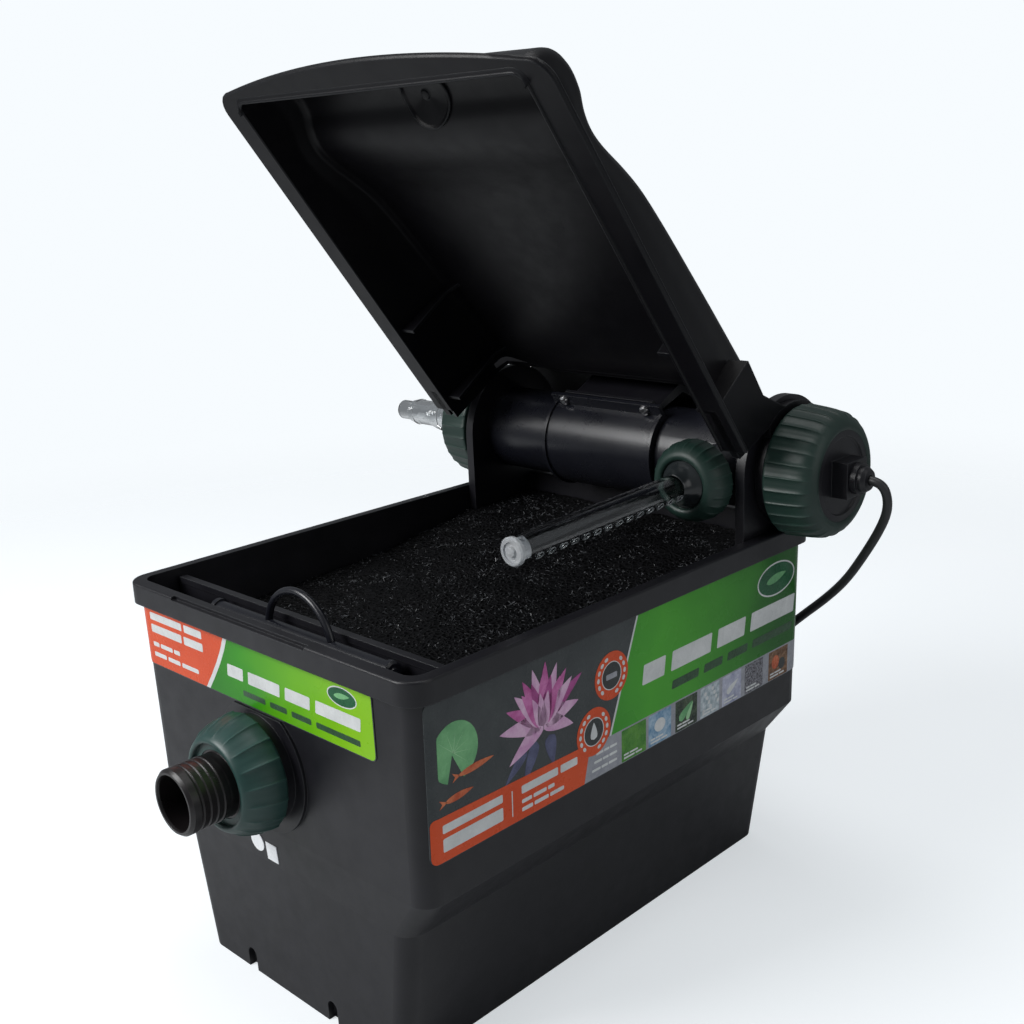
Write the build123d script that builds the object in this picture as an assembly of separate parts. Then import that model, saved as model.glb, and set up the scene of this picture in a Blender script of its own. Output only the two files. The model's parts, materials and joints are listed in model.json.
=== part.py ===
from build123d import *
import os
from math import cos, pi, radians, sin, tan

# A pond filter box: a tub of foam and media with a hinged lid, and an ultraviolet
# lamp tube across its rear that feeds a spray bar.  Millimetres, +Z up.
# The origin is the centre of the tub's base.  The outlet is at -Y, the lamp tube at the
# rear (+Y) runs along X, and the long labelled side is at +X.
# The rest pose has the lid open, as it stands on its stop.

os.makedirs("parts", exist_ok=True)

# ---------------------------------------------------------------- driving dimensions
TUB_X = 280.0            # over the rim
TUB_Y = 373.0
TUB_H = 252.0
RIM_H = 14.0             # height of the rim's skirt
RIM_R = 15.0             # corner radius of the rim
WALL = 3.5
FLOOR = 4.0
# outer half sizes of the wall at the heights where its slope changes: z, x, y, corner
WALL_STEPS = (
    (0.0, 99.0, 177.0, 11.0),
    (91.0, 113.0, 178.5, 12.0),
    (118.0, 133.0, 180.5, 12.5),
    (TUB_H - RIM_H, 135.5, 181.5, 12.5),
)

TUBE_Y = 164.0           # axis of the lamp tube, the lid's hinge axis
TUBE_Z = 292.0
TUBE_R = 32.0
TUBE_BORE = 28.5
EAR_IN = 124.0           # inner face of each ear
EAR_T = 7.0
EAR_R = 50.0
BUSH_R = 35.5
BUSH_END = 140.2         # outer end of each bush
CHEEK_R = 46.5           # the lid's hinge ring over its upper part
CHEEK_LOW_R = 38.8       # and below, where it passes the rim
NUT_START = 140.5        # inner face of the ring nuts
NUT_R = 44.8
NUT_END = 175.0          # outer face of the ring nuts
NUT_LIP = 170.4          # inner side of the ring nuts' inward lip

LID_OPEN = 53.0          # degrees
LID_X = 144.5            # half width over the flange
LID_PLANE = TUB_H + 0.5  # underside of the closed lid
LID_T = 3.0
LID_CUT = 52.5           # radius cleared round the tube's axis
HOOD_R = 55.0            # inner radius of the lid's hood over the tube
NUT_CUT = 77.5           # radius cleared on the right, for the spray bar's nut

OUTLET_X = -7.0
OUTLET_Z = 161.0
TAIL_R = 20.0            # outlet hosetail
TAIL_BORE = 16.5
TAIL_END = -243.0
PAD_END = 188.5          # outer face of the round pad under the outlet's nut

BAR_X = 96.0             # spray bar, where its axis crosses the tube's axis
BAR_R = 9.0
BAR_BORE = 7.0
BAR_PITCH = 1.6          # degrees down towards the front
BAR_YAW = -0.8           # degrees in towards the middle; the bar leans out a little
BAR_END = 236.0          # from the tube's axis to the tip
BRANCH_R = 18.0          # the tube's side branch, under the spray bar's nut

DIVIDER_Y = -150.0
CABLE_R = 3.1
COIL_CENTRE = (-100.0, 250.0)
COIL_MID_R = 34.0
COIL_HALF = 13.5         # half the coil's section, radially
COIL_H = 37.4
PLUG_Y = 293.0
PLUG_X = -48.0           # where the cable enters the plug
PLUG_R = 17.0

NODES = {}


def save(name, shape):
    """Write one sub-part."""
    NODES[name] = shape
    export_step(shape, f"parts/{name}.step")


# ---------------------------------------------------------------- small helpers
def slab(x0, x1, y0, y1, z0, z1):
    """A box given by its limits."""
    centre = ((x0 + x1) / 2, (y0 + y1) / 2, (z0 + z1) / 2)
    return Pos(*centre) * Box(x1 - x0, y1 - y0, z1 - z0)


def rod(r, a, b, place=Location()):
    """A cylinder along the local Z of place, from a to b."""
    return place * (Pos(0, 0, (a + b) / 2) * Cylinder(r, b - a))


def ring(r_out, r_in, a, b, place=Location()):
    """A tube along the local Z of place, from a to b."""
    return rod(r_out, a, b, place) - rod(r_in, a - 1, b + 1, place)


def turned(points, place=Location()):
    """A solid of revolution about the local Z of place, from (radius, height) points."""
    outline = make_face(Polyline(*[(r, 0, h) for r, h in points], close=True))
    return place * revolve(outline, Axis.Z)


def plate_yz(points, x0, x1):
    """A flat plate from (y, z) points, between two places along X."""
    face = make_face(Polyline(*[(0, y, z) for y, z in points], close=True))
    return Pos(x0, 0, 0) * extrude(face, amount=x1 - x0, dir=(1, 0, 0))


def about_tube(dy, dz):
    """A (y, z) point given from the tube's axis."""
    return (TUBE_Y + dy, TUBE_Z + dz)


def arc_strip(r_in, r_out, start, stop, x0, x1):
    """A strip round the tube; angles in degrees from +Z towards -Y."""
    angles = [radians(a) for a in (start, (start + stop) / 2, stop)]
    outer = ThreePointArc(*[(0, *about_tube(-r_out * sin(a), r_out * cos(a))) for a in angles])
    inner = ThreePointArc(*[(0, *about_tube(-r_in * sin(a), r_in * cos(a))) for a in angles])
    ends = [Line(outer @ 0, inner @ 0), Line(outer @ 1, inner @ 1)]
    face = make_face([outer, inner, *ends])
    return Pos(x0, 0, 0) * extrude(face, amount=x1 - x0, dir=(1, 0, 0))


def ribbed_nut(profile, bore, ribs, rib_h, place):
    """A turned nut with ribs along its outside; profile is (radius, height) points."""
    r_max = max(r for r, h in profile)
    top = max(h for r, h in profile)
    core = turned([(0, profile[0][1]), *[(r - rib_h, h) for r, h in profile], (0, profile[-1][1])])
    skin = turned([(0, profile[0][1]), *profile, (0, profile[-1][1])])
    blade = Pos(r_max / 2, 0, top / 2) * Box(r_max, 2.2, 2 * top)
    blades = [Rot(0, 0, 360 * i / ribs) * blade for i in range(ribs)]
    comb = blades[0].fuse(*blades[1:]) & skin
    nut = core + comb
    for r, a, b in bore:
        nut -= rod(r, a, b)
    return place * nut


ALONG_X = Location((0, TUBE_Y, TUBE_Z), (0, 90, 0))     # local Z points to +X
ALONG_NEG_X = Location((0, TUBE_Y, TUBE_Z), (0, -90, 0))
OUTWARD = Location((OUTLET_X, 0, OUTLET_Z), (90, 0, 0))  # local Z points to -Y
BAR = Location((BAR_X, TUBE_Y, TUBE_Z)) * Rot(0, 0, -BAR_YAW) * Rot(90 + BAR_PITCH, 0, 0)


# ---------------------------------------------------------------- tub
def wall_block(inset, z_low, z_high):
    """The solid inside the wall's faces, moved in by inset, between two heights."""
    pieces = []
    for (z0, x0, y0, r0), (z1, x1, y1, r1) in zip(WALL_STEPS, WALL_STEPS[1:]):
        low = Pos(0, 0, z0) * RectangleRounded(2 * (x0 - inset), 2 * (y0 - inset), r0 - inset)
        high = Pos(0, 0, z1) * RectangleRounded(2 * (x1 - inset), 2 * (y1 - inset), r1 - inset)
        pieces.append(loft([low, high], ruled=True))
    z1, x1, y1, r1 = WALL_STEPS[-1]
    top = Pos(0, 0, z1) * RectangleRounded(2 * (x1 - inset), 2 * (y1 - inset), r1 - inset)
    pieces.append(extrude(top, amount=TUB_H + 10 - z1))
    whole = pieces[0].fuse(*pieces[1:])
    return whole & slab(-200, 200, -250, 250, z_low, z_high)


def rim():
    """The rim's inverted channel, with a lower stretch at the front."""
    low = TUB_H - RIM_H
    band = Pos(0, 0, low) * extrude(RectangleRounded(TUB_X, TUB_Y, RIM_R), amount=RIM_H)
    hollow = RectangleRounded(TUB_X - 4, TUB_Y - 4, RIM_R - 2)
    band -= Pos(0, 0, low - 1) * extrude(hollow, amount=RIM_H - 2.0)
    band = fillet(band.edges().group_by(Axis.Z)[-1], 1.5)
    recess = slab(-83, 52, -TUB_Y / 2 - 1, -TUB_Y / 2 + 3.2, TUB_H - 2.2, TUB_H + 1)
    return band - recess


def ear(side):
    """One ear: round about the tube, straight down in front, sloped in behind."""
    x0 = EAR_IN if side > 0 else -EAR_IN - EAR_T
    disc = rod(EAR_R, x0, x0 + EAR_T, ALONG_X)
    foot_z = TUB_H - 20
    web = plate_yz([about_tube(-EAR_R, 0), (TUBE_Y - EAR_R, foot_z), (TUB_Y / 2 - 8, foot_z),
                    (TUB_Y / 2 - 1, TUB_H - 4), about_tube(EAR_R * 0.94, -EAR_R * 0.34),
                    about_tube(EAR_R * 0.5, 0)], x0, x0 + EAR_T)
    return (disc + web) - rod(TUBE_R + 0.1, x0 - 1, x0 + EAR_T + 1, ALONG_X)


def tub():
    """The box: stepped walls, rim, ears, bottom notches, outlet pad and hole."""
    shell = wall_block(0, 0, TUB_H) - wall_block(WALL, FLOOR, TUB_H + 5)
    shell += rim() - wall_block(WALL, FLOOR, TUB_H + 5)
    for side in (-1, 1):
        shell += ear(side)
    shell += rod(42, 178.5, 183.0, OUTWARD) & slab(-60, 60, -200, -170, 100, 196)
    shell += rod(33.5, 182.0, PAD_END, OUTWARD)
    shell -= rod(26, 170, 190, OUTWARD)
    for x in (-50, 34):
        notch = slab(x - 4.5, x + 4.5, -190, -172.5, -1, 10.5)
        notch += Pos(x, -181.2, 10.5) * Rot(90, 0, 0) * Cylinder(4.5, 17.5)
        shell -= notch
        back = slab(x - 6.5, x + 6.5, -177.2, -171.0, 0.5, 16.5)
        back -= slab(x - 4.5, x + 4.5, -190, -172.5, -1, 15)
        shell += back & wall_block(0.3, 0, 60)
    return shell


# ---------------------------------------------------------------- lid
# roof line of the closed lid, front to rear
ROOF = [(-182.0, 262.0), (-179.0, 275.0), (-171.0, 286.5), (-158.0, 292.0), (-144.0, 291.0),
        (-133.0, 286.0), (-122.0, 284.5), (-108.0, 287.5), (-88.0, 294.6), (-68.0, 300.0),
        (-38.0, 304.0), (0.0, 307.5), (40.0, 310.8), (85.0, 314.0), (135.0, 317.5)]


def lid_block(inset):
    """The solid inside the lid's faces, moved in by inset, over its whole length."""
    line = [(y + (inset if y < -170 else 0), z - inset) for y, z in ROOF]
    top = Spline(*[(0, y, z) for y, z in line])
    rear = line[-1][0]
    low = LID_PLANE - (1.0 if inset else 0.0)
    front = -184.0 + inset
    sides = [Line(top @ 1, (0, rear, low)), Line((0, rear, low), (0, front, low)),
             Line((0, front, low), top @ 0)]
    side_view = Pos(-160, 0, 0) * extrude(make_face([top, *sides]), amount=320, dir=(1, 0, 0))
    wide, narrow, high = 128.0 - inset, 117.5 - inset, 325.0
    end_view = make_face(Polyline((-wide, 0, low), (wide, 0, low), (narrow, 0, high),
                                  (-narrow, 0, high), close=True))
    prism = Pos(0, -200, 0) * extrude(end_view, amount=360, dir=(0, 1, 0))
    return side_view & prism


def lid_flange():
    """The flat flange round the lid, bowed out at the front."""
    side_y = -187.0
    bow = -199.0
    rear = 110.0
    inner = slab(-125.0, 125.0, -181.0, rear + 60, LID_PLANE - 1, LID_PLANE + 9)
    arc = ThreePointArc((-LID_X + 14, side_y - 1.5), (0, bow), (LID_X - 14, side_y - 1.5))
    lines = [ThreePointArc((LID_X - 14, side_y - 1.5), (LID_X - 3.5, -183.5), (LID_X, -173)),
             Line((LID_X, -173), (LID_X, rear)), Line((LID_X, rear), (-LID_X, rear)),
             Line((-LID_X, rear), (-LID_X, -173)),
             ThreePointArc((-LID_X, -173), (-LID_X + 3.5, -183.5), (-LID_X + 14, side_y - 1.5))]
    outline = make_face([arc, *lines])
    return Pos(0, 0, LID_PLANE) * extrude(outline, amount=4.0) - inner


def hinge_cheek(side):
    """A ring round the bush, and the web that joins it to the lid's side."""
    x0 = EAR_IN + EAR_T + 0.5 if side > 0 else -(EAR_IN + EAR_T + 0.5) - 6.0
    front = [(118, 309), (96, 300), (84, 262)]
    if side > 0:
        front = [(124, 316), (104, 311), (90, 304), (84, 292)]
    web = [about_tube(-20, 41), *front, (84, LID_PLANE), (110, LID_PLANE),
           about_tube(-45.5, -5), about_tube(-30, -5)]
    cheek = rod(CHEEK_LOW_R, x0, x0 + 6.0, ALONG_X)
    cheek += arc_strip(BUSH_R + 1, CHEEK_R, -60, 98, x0, x0 + 6.0)
    cheek += plate_yz(web, x0, x0 + 6.0)
    return cheek - rod(BUSH_R + 0.1, x0 - 1, x0 + 7, ALONG_X)


def lid_closed():
    """The lid in its closed place."""
    shell = lid_block(0) + lid_flange()
    shell -= lid_block(LID_T)
    # ribs inside each side wall, and a round boss inside the front
    for y in (22.0, 92.0):
        rib = slab(-140, 140, y - 1.2, y + 1.2, LID_PLANE + 3, 330) & lid_block(LID_T - 0.5)
        shell += rib - slab(-114, 114, y - 5, y + 5, 200, 340)
    shell -= rod(LID_CUT, -123.5, 123.5, ALONG_X)
    shell -= slab(-160, 160, 121.0, 200.0, 200, 360)
    shell -= rod(LID_CUT, -160, 160, ALONG_X)
    shell -= slab(-160, 160, 111.0, 200, 200, TUBE_Z)
    # room for the spray bar's nut, with the flange left whole beside it
    shell -= rod(NUT_CUT, 63.0, 130.0, ALONG_X) - slab(125, 131, -200, 200, 200, LID_PLANE + 4)
    # the hood over the lamp tube, shorter in front where the nut stands
    hood = arc_strip(HOOD_R, HOOD_R + 3, 67, -27, -105.0, 62.0)
    hood += arc_strip(HOOD_R, HOOD_R + 3, 60, -27, 61.0, 114.0)
    shell += hood
    for side in (-1, 1):
        shell += hinge_cheek(side)
    return shell


def opened(shape):
    """Swing a closed-lid shape to the rest pose."""
    return shape.rotate(Axis((0, TUBE_Y, TUBE_Z), (1, 0, 0)), -LID_OPEN)


# ---------------------------------------------------------------- lamp tube
def uv_tube():
    """The lamp tube: a long pipe with a threaded end each side and a branch in front."""
    end = 166.0
    pipe = rod(TUBE_R, -end, end, ALONG_X) + rod(BRANCH_R, 20, 62, BAR)
    for i in range(4):
        pipe += ring(TUBE_R + 0.9, TUBE_R - 1, EAR_IN - 6 - 3 * i, EAR_IN - 5 - 3 * i, ALONG_X)
    return pipe - rod(TUBE_BORE, -end - 1, end + 1, ALONG_X) - rod(12.5, 5, 63, BAR)


def tube_bush(side):
    """The bush between an ear and a ring nut, on which the lid turns."""
    low = EAR_IN + EAR_T
    place = ALONG_X if side > 0 else ALONG_NEG_X
    return ring(BUSH_R, TUBE_R + 0.1, low, BUSH_END, place)


def big_nut(place):
    """A large ring nut on one end of the lamp tube."""
    profile = [(44.5, NUT_START), (NUT_R, 144), (43.0, 163), (41.0, 169), (35.5, NUT_END)]
    bore = [(TUBE_R + 0.3, NUT_START - 1, NUT_LIP), (30.7, NUT_LIP - 1, NUT_END + 1)]
    return ribbed_nut(profile, bore, 28, 1.1, place)


def lamp_end_cap():
    """The black cap held by the lamp-end nut, with a square boss for the gland."""
    cap = turned([(0, 168), (32.0, 168), (32.0, 170.2), (30.4, 170.2), (30.4, 174.2),
                  (26.5, 174.2), (25.5, 172.8), (0, 172.8)], ALONG_X)
    cap += ALONG_X * (Pos(0, 0, 178.35) * Box(24, 24, 11.9))
    cap += ALONG_X * (Pos(0, 0, 159) * Cylinder(24.0, 18.2))
    return cap - rod(4.2, 158, 190, ALONG_X) - rod(21.5, 149, 165, ALONG_X)


def inlet_hosetail():
    """The stepped inlet hosetail: a flange under the nut and three steps."""
    outline = [(0, 168.3), (32.0, 168.3), (32.0, 170.2), (17.0, 171.0), (14.5, 184), (13.0, 187),
               (13.0, 206), (14.0, 206), (12.6, 214), (10.6, 222), (10.6, 240), (11.3, 240),
               (9.4, 248), (8.2, 250), (8.2, 262), (0, 262)]
    return turned(outline, ALONG_NEG_X) - rod(6.4, 160, 270, ALONG_NEG_X)


# ---------------------------------------------------------------- strap and bracket
STRAP_X = (-61.0, 42.0)
FLANGE_AT = 29.0         # degrees forward of the top


def saddle_strap():
    """The strap round the front and bottom of the tube, with a flange at its top edge."""
    x0, x1 = STRAP_X
    strap = arc_strip(TUBE_R + 0.3, TUBE_R + 3.8, FLANGE_AT + 2, 183, x0, x1)
    for edge in (x0, x1 - 3.0):
        strap += arc_strip(TUBE_R + 1, TUBE_R + 5.2, FLANGE_AT + 2, 178, edge, edge + 3.0)
    strap += Pos(0, TUBE_Y, TUBE_Z) * Rot(FLANGE_AT + 2, 0, 0) * (
        Pos((x0 + x1) / 2, -1.4, TUBE_R + 6.5) * Box(x1 - x0, 3.0, 12.0))
    strap += slab(x0 + 12, x1 - 12, TUBE_Y - 1, 199.8, TUBE_Z - 35.8, TUBE_Z - 32.4)
    return strap - screw_holes()


def screw_place(x):
    """Where a strap screw sits: local Z points out of the flange's front face."""
    face = Pos(x, TUBE_Y, TUBE_Z) * Rot(FLANGE_AT + 2, 0, 0)
    return face * Pos(0, -2.9, TUBE_R + 8.2) * Rot(90, 0, 0)


def screw_holes():
    """Clearance for both strap screws."""
    holes = [rod(1.8, -8, 1, screw_place(x)) for x in (-49.0, 28.0)]
    return holes[0] + holes[1]


def strap_screws():
    """Two slotted pan-head screws."""
    pair = []
    for x in (-49.0, 28.0):
        screw = turned([(0, -7.5), (1.75, -7.5), (1.75, 0.05), (4.0, 0.05), (3.6, 1.8), (2.2, 2.5),
                        (0, 2.6)])
        screw -= Pos(0, 0, 2.4) * Rot(0, 0, 35) * Box(9, 1.0, 1.6)
        pair.append(screw_place(x) * screw)
    return Compound(pair)


def rear_bracket():
    """A bent plate: from the strap's flange over the tube and down behind the tub."""
    lean = radians(FLANGE_AT)
    x0, x1 = -50.0, 33.0
    start = about_tube(-33.2 * sin(lean), 33.2 * cos(lean))
    lip = about_tube(-44.2 * sin(lean), 44.2 * cos(lean))
    run = 31.0
    ahead = (run * cos(lean), run * sin(lean))
    thick = 3.5
    up = (-thick * sin(lean), thick * cos(lean))
    crest = (start[0] + ahead[0] + 2, start[1] + ahead[1])
    back = TUBE_Y + 40.0
    outline = [start, lip, (lip[0] + 2.6 * cos(lean), lip[1] + 2.6 * sin(lean)),
               (start[0] + 2.6 * cos(lean) + up[0], start[1] + 2.6 * sin(lean) + up[1]),
               (crest[0] + up[0], crest[1] + up[1]), (back, TUBE_Z + 34), (back, 232.0),
               (back - 16.6, 216.0), (back - 20.2, 216.0), (back - 4, 234.0),
               (back - 4, TUBE_Z + 31), (crest[0] + 2, crest[1] - 3.5)]
    plate = plate_yz(outline, x0, x1)
    foot = slab(x0, x1, 182.2, 187.6, 190, 219)
    holes = [Pos(x, 185, 204) * Rot(90, 0, 0) * Cylinder(2.2, 20) for x in (-35.0, 18.0)]
    return plate + foot - holes[0] - holes[1] - screw_holes()


def bracket_screws():
    """Two screws that hold the bracket's foot on the tub's rear wall."""
    place = [Pos(x, 187.6, 204) * Rot(-90, 0, 0) for x in (-35.0, 18.0)]
    screw = turned([(0, -5.2), (2.1, -5.2), (2.1, 0), (4.4, 0), (4.0, 2.0), (0, 2.8)])
    screw -= Pos(0, 0, 2.6) * Box(10, 1.1, 1.8)
    return Compound([p * screw for p in place])


# ---------------------------------------------------------------- lamp
def quartz_sleeve():
    """The quartz sleeve, closed at its far end."""
    sleeve = rod(15.0, -95, 149.5, ALONG_X) + Pos(-95, TUBE_Y, TUBE_Z) * Sphere(15.0)
    return sleeve - rod(13.5, -94, 150, ALONG_X) - Pos(-94, TUBE_Y, TUBE_Z) * Sphere(13.5)


def lamp_tubes():
    """Two parallel lamp tubes joined near their far ends."""
    glass = Part()
    for dz in (-6.6, 6.6):
        side = ALONG_X * Pos(-dz, 0, 0)
        glass += rod(5.6, -80, 118, side) + side * Pos(0, 0, -80) * Sphere(5.6)
    return glass + ALONG_X * Pos(0, 0, -70) * Rot(0, 90, 0) * Cylinder(2.5, 14)


def lamp_base():
    """The lamp's moulded base with its two pins."""
    base = ALONG_X * (Pos(0, 0, 128) * Box(22, 14, 20.0))
    for dx in (-5, 5):
        base += rod(1.2, 137, 143, ALONG_X * Pos(dx, 0, 0))
    return base


# ---------------------------------------------------------------- spray bar
def spray_ring_nut():
    """The nut that holds the spray bar on the tube's branch."""
    profile = [(25.5, 51.2), (27.8, 53.5), (27.8, 62), (26.0, 67), (20.5, 73)]
    bore = [(BRANCH_R + 0.3, 50, 65.2), (11.0, 64, 70), (17.0, 70, 74)]
    return ribbed_nut(profile, bore, 20, 1.0, BAR)


def spray_bar():
    """The clear bar: a flange under the nut, and a row of holes low on its outer side."""
    bar = ring(BAR_R, BAR_BORE, 50, BAR_END - 3, BAR) + ring(17.8, BAR_BORE, 62.3, 64.6, BAR)
    for i in range(14):
        centre = BAR * Pos(0, 0, 84 + 10.4 * i) * Rot(0, 0, -38)
        bar -= centre * Pos(BAR_R - 1, 0, 0) * Rot(0, 90, 0) * Cylinder(2.4, 6)
    return bar


def spray_bar_cap():
    """The bar's moulded end cap, with a raised ring and centre."""
    return turned([(0, BAR_END - 9), (BAR_BORE - 0.05, BAR_END - 9), (BAR_BORE - 0.05, BAR_END - 3),
                   (BAR_R, BAR_END - 3), (BAR_R, BAR_END - 1), (BAR_R - 1, BAR_END),
                   (6.0, BAR_END), (5.6, BAR_END - 1), (3.4, BAR_END - 1), (2.8, BAR_END + 0.6),
                   (0, BAR_END + 1)], BAR)


# ---------------------------------------------------------------- outlet
def outlet_bulkhead():
    """The threaded fitting through the front wall; its flange is inside."""
    body = ring(33.0, 18.0, 171.0, 174.8, OUTWARD) + ring(25.5, 18.0, 171.0, 208.5, OUTWARD)
    for i in range(5):
        body += ring(25.8, 24.0, 192 + 3 * i, 193.2 + 3 * i, OUTWARD)
    return body


def outlet_ring_nut():
    """The conical ribbed nut round the outlet hosetail."""
    profile = [(36.0, 189.1), (37.0, 190.5), (37.0, 195.5), (34.5, 204.5), (27.5, 215.5)]
    bore = [(26.2, 188, 212.3), (21.0, 211, 217)]
    return ribbed_nut(profile, bore, 18, 0.9, OUTWARD)


def outlet_hosetail():
    """The outlet hosetail: a flange under the nut and shallow barbs."""
    tip = -TAIL_END
    outline = [(TAIL_BORE, 208.9), (25.6, 208.9), (25.6, 211.9), (19.6, 211.9)]
    for i in range(4):
        outline += [(19.3, 217 + 4.5 * i), (TAIL_R - 0.05, 221 + 4.5 * i), (19.4, 221.2 + 4.5 * i)]
    outline += [(19.4, 235.4), (TAIL_R, 236.5), (TAIL_R, tip - 2), (TAIL_R - 1.6, tip),
                (TAIL_BORE + 0.6, tip), (TAIL_BORE, tip - 1.5)]
    return turned(outline, OUTWARD)


# ---------------------------------------------------------------- inside the tub
def inside(y0, y1, z0, z1, gap=0.4):
    """A block that fills the tub's inside between two planes and two heights."""
    return wall_block(WALL + gap, z0, z1) & slab(-160, 160, y0, y1, z0 - 1, z1 + 1)


def divider_plate():
    """The plate between the foam and the front chamber, with slots at its foot."""
    plate = inside(DIVIDER_Y - 1.5, DIVIDER_Y + 1.5, FLOOR + 0.2, 246.0)
    slots = [slab(x - 8, x + 8, DIVIDER_Y - 5, DIVIDER_Y + 5, 14, 44) for x in range(-80, 81, 20 + 6)]
    for slot in slots:
        plate -= slot
    bead = slab(-128, 128, DIVIDER_Y - 2.5, DIVIDER_Y + 2.5, 243, 247)
    return plate + (bead & wall_block(WALL + 0.4, 200, TUB_H))


def top_foam():
    """The coarse foam: its top slopes up to the rear."""
    block = inside(-148.0, 177.0, 166.0, 240.0, 0.6)
    cutter = plate_yz([(-160, 214), (20, 222), (110, 234), (180, 238), (180, 300), (-160, 300)],
                      -160, 160)
    for side in (-1, 1):
        block -= Pos(side * 130, 0, 0) * slab(-7, 7, 112, 190, 231, 260)
    return block - cutter


def media_grid():
    """A grid plate on four legs."""
    grid = inside(-147.0, 173.0, 62.0, 66.0, 1.0)
    for x in range(-84, 85, 24):
        for y in range(-128, 160, 24):
            grid -= slab(x - 9, x + 9, y - 9, y + 9, 60, 70)
    for x in (-72, 72):
        for y in (-116, 148):
            grid += Pos(x, y, 33.2) * Cylinder(4.5, 58)
    return grid


def bio_media():
    """Loose ribbed rings of plastic media below the grid, in rows."""
    pieces = []
    for i in range(5):
        for j in range(9):
            x, y = -56 + 28 * i, -124 + 34 * j
            turn = 40 * ((3 * i + 5 * j) % 9)
            piece = Pos(x, y, 15) * Rot(90, 0, turn) * (Cylinder(10, 12) - Cylinder(7, 14)
                                                        + Box(18, 1.2, 12) + Box(1.2, 18, 12))
            pieces.append(piece)
    return Compound(pieces)


def outlet_screen():
    """A slotted plate that hangs from the round bar, in front of the outlet."""
    plate = slab(-66, 90, -162.5, -159.5, 112, 234.3)
    for i in range(18):
        plate -= slab(-61 + 8.3 * i, -57 + 8.3 * i, -166, -156, 122, 226)
    return plate


def bar_handle():
    """The arched lifting handle on the round bar."""
    path = ThreePointArc((-17, -161, 244.2), (12, -161, 268.5), (43, -161, 244.2))
    start = Plane(origin=path @ 0, z_dir=path % 0)
    return sweep(start * Circle(2.3), path=path)


# ---------------------------------------------------------------- labels
def wall_skin(thick):
    """The layer just outside the wall's faces."""
    return wall_block(-thick, 100, TUB_H) - wall_block(0, 90, TUB_H + 5)


def side_label():
    """The long label on the +X side."""
    face = Pos(120, 0, 190.4) * Rot(0, 90, 0) * RectangleRounded(94.2, 350, 5)
    return extrude(face, amount=30) & wall_skin(0.5)


def front_label():
    """The label under the rim in front, above the outlet."""
    face = Pos(-13.5, -160, 217) * Rot(90, 0, 0) * RectangleRounded(231, 40.5, 4)
    return extrude(face, amount=40) & wall_skin(0.5)


def stickers():
    """A round and a square sticker below the outlet."""
    disc = Pos(-25.5, -160, 103) * Rot(90, 0, 0) * Circle(6.6)
    square = Pos(-11, -160, 100) * Rot(90, 0, 0) * Rectangle(11, 12)
    skin = wall_block(-0.4, 60, TUB_H) - wall_block(0, 50, TUB_H + 5)
    return extrude(disc, amount=40) & skin, extrude(square, amount=40) & skin


# ---------------------------------------------------------------- mains cable
CABLE_ROUTE = [(194.0, 164.0, 292.0), (200.5, 164.2, 291.3), (204.5, 166.5, 284.5),
               (203.5, 170.5, 271.5), (195.0, 175.5, 255.0), (181.5, 181.0, 234.5),
               (165.0, 188.0, 212.0), (145.0, 195.0, 192.0), (121.0, 200.0, 171.0),
               (96.0, 203.0, 147.0), (74.0, 205.0, 119.0), (54.0, 206.5, 91.0),
               (33.0, 208.0, 65.0), (9.0, 210.0, 42.0), (-17.0, 210.0, 22.5),
               (-44.0, 208.0, 9.0), (-72.0, 205.5, 3.6), (-97.0, 206.0, 3.15)]
TAIL_ROUTE = [(-116.0, 291.0, 34.0), (-98.0, 295.5, 33.0), (-80.0, 295.5, 26.0),
              (-64.0, 293.5, 18.5), (PLUG_X, PLUG_Y, PLUG_R)]


def bend_radii(route):
    """The arc at each inner point of a route, as large as its runs allow."""
    radii = []
    for a, b, c in zip(route, route[1:], route[2:]):
        before, after = Vector(b) - Vector(a), Vector(c) - Vector(b)
        half = radians(before.get_angle(after)) / 2
        radii.append(0.45 * min(before.length, after.length) / tan(half))
    return radii


def cable_tube(name, route):
    """A tube along a route; prints its radii and how its volume compares."""
    radii = bend_radii(route)
    path = FilletPolyline(*route, radius=radii)
    start = Plane(origin=path @ 0, z_dir=path % 0)
    tube = sweep(start * Circle(CABLE_R), path=path)
    share = tube.volume / (pi * CABLE_R ** 2 * path.length)
    print(name, "length", round(path.length), "radii", [round(r) for r in radii],
          "volume share", round(share, 4))
    return tube


def plug_body():
    """A round two-pin plug body lying on the floor, the cable entering at its narrow end."""
    return Pos(PLUG_X, PLUG_Y, PLUG_R) * Rot(0, 90, 0) * turned(
        [(0, 0), (5.5, 0), (7.5, 14), (12.0, 20), (PLUG_R - 0.5, 30), (PLUG_R, 36), (PLUG_R, 46),
         (PLUG_R - 1, 48), (0, 48)])


def plug_pins():
    """The plug's two pins."""
    pins = []
    for dy in (-9.5, 9.5):
        pins.append(Pos(PLUG_X + 48, PLUG_Y + dy, PLUG_R) * Rot(0, 90, 0) * turned(
            [(0, 0), (2.4, 0), (2.4, 17.5), (1.6, 19), (0, 19.2)]))
    return Compound(pins)


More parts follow.
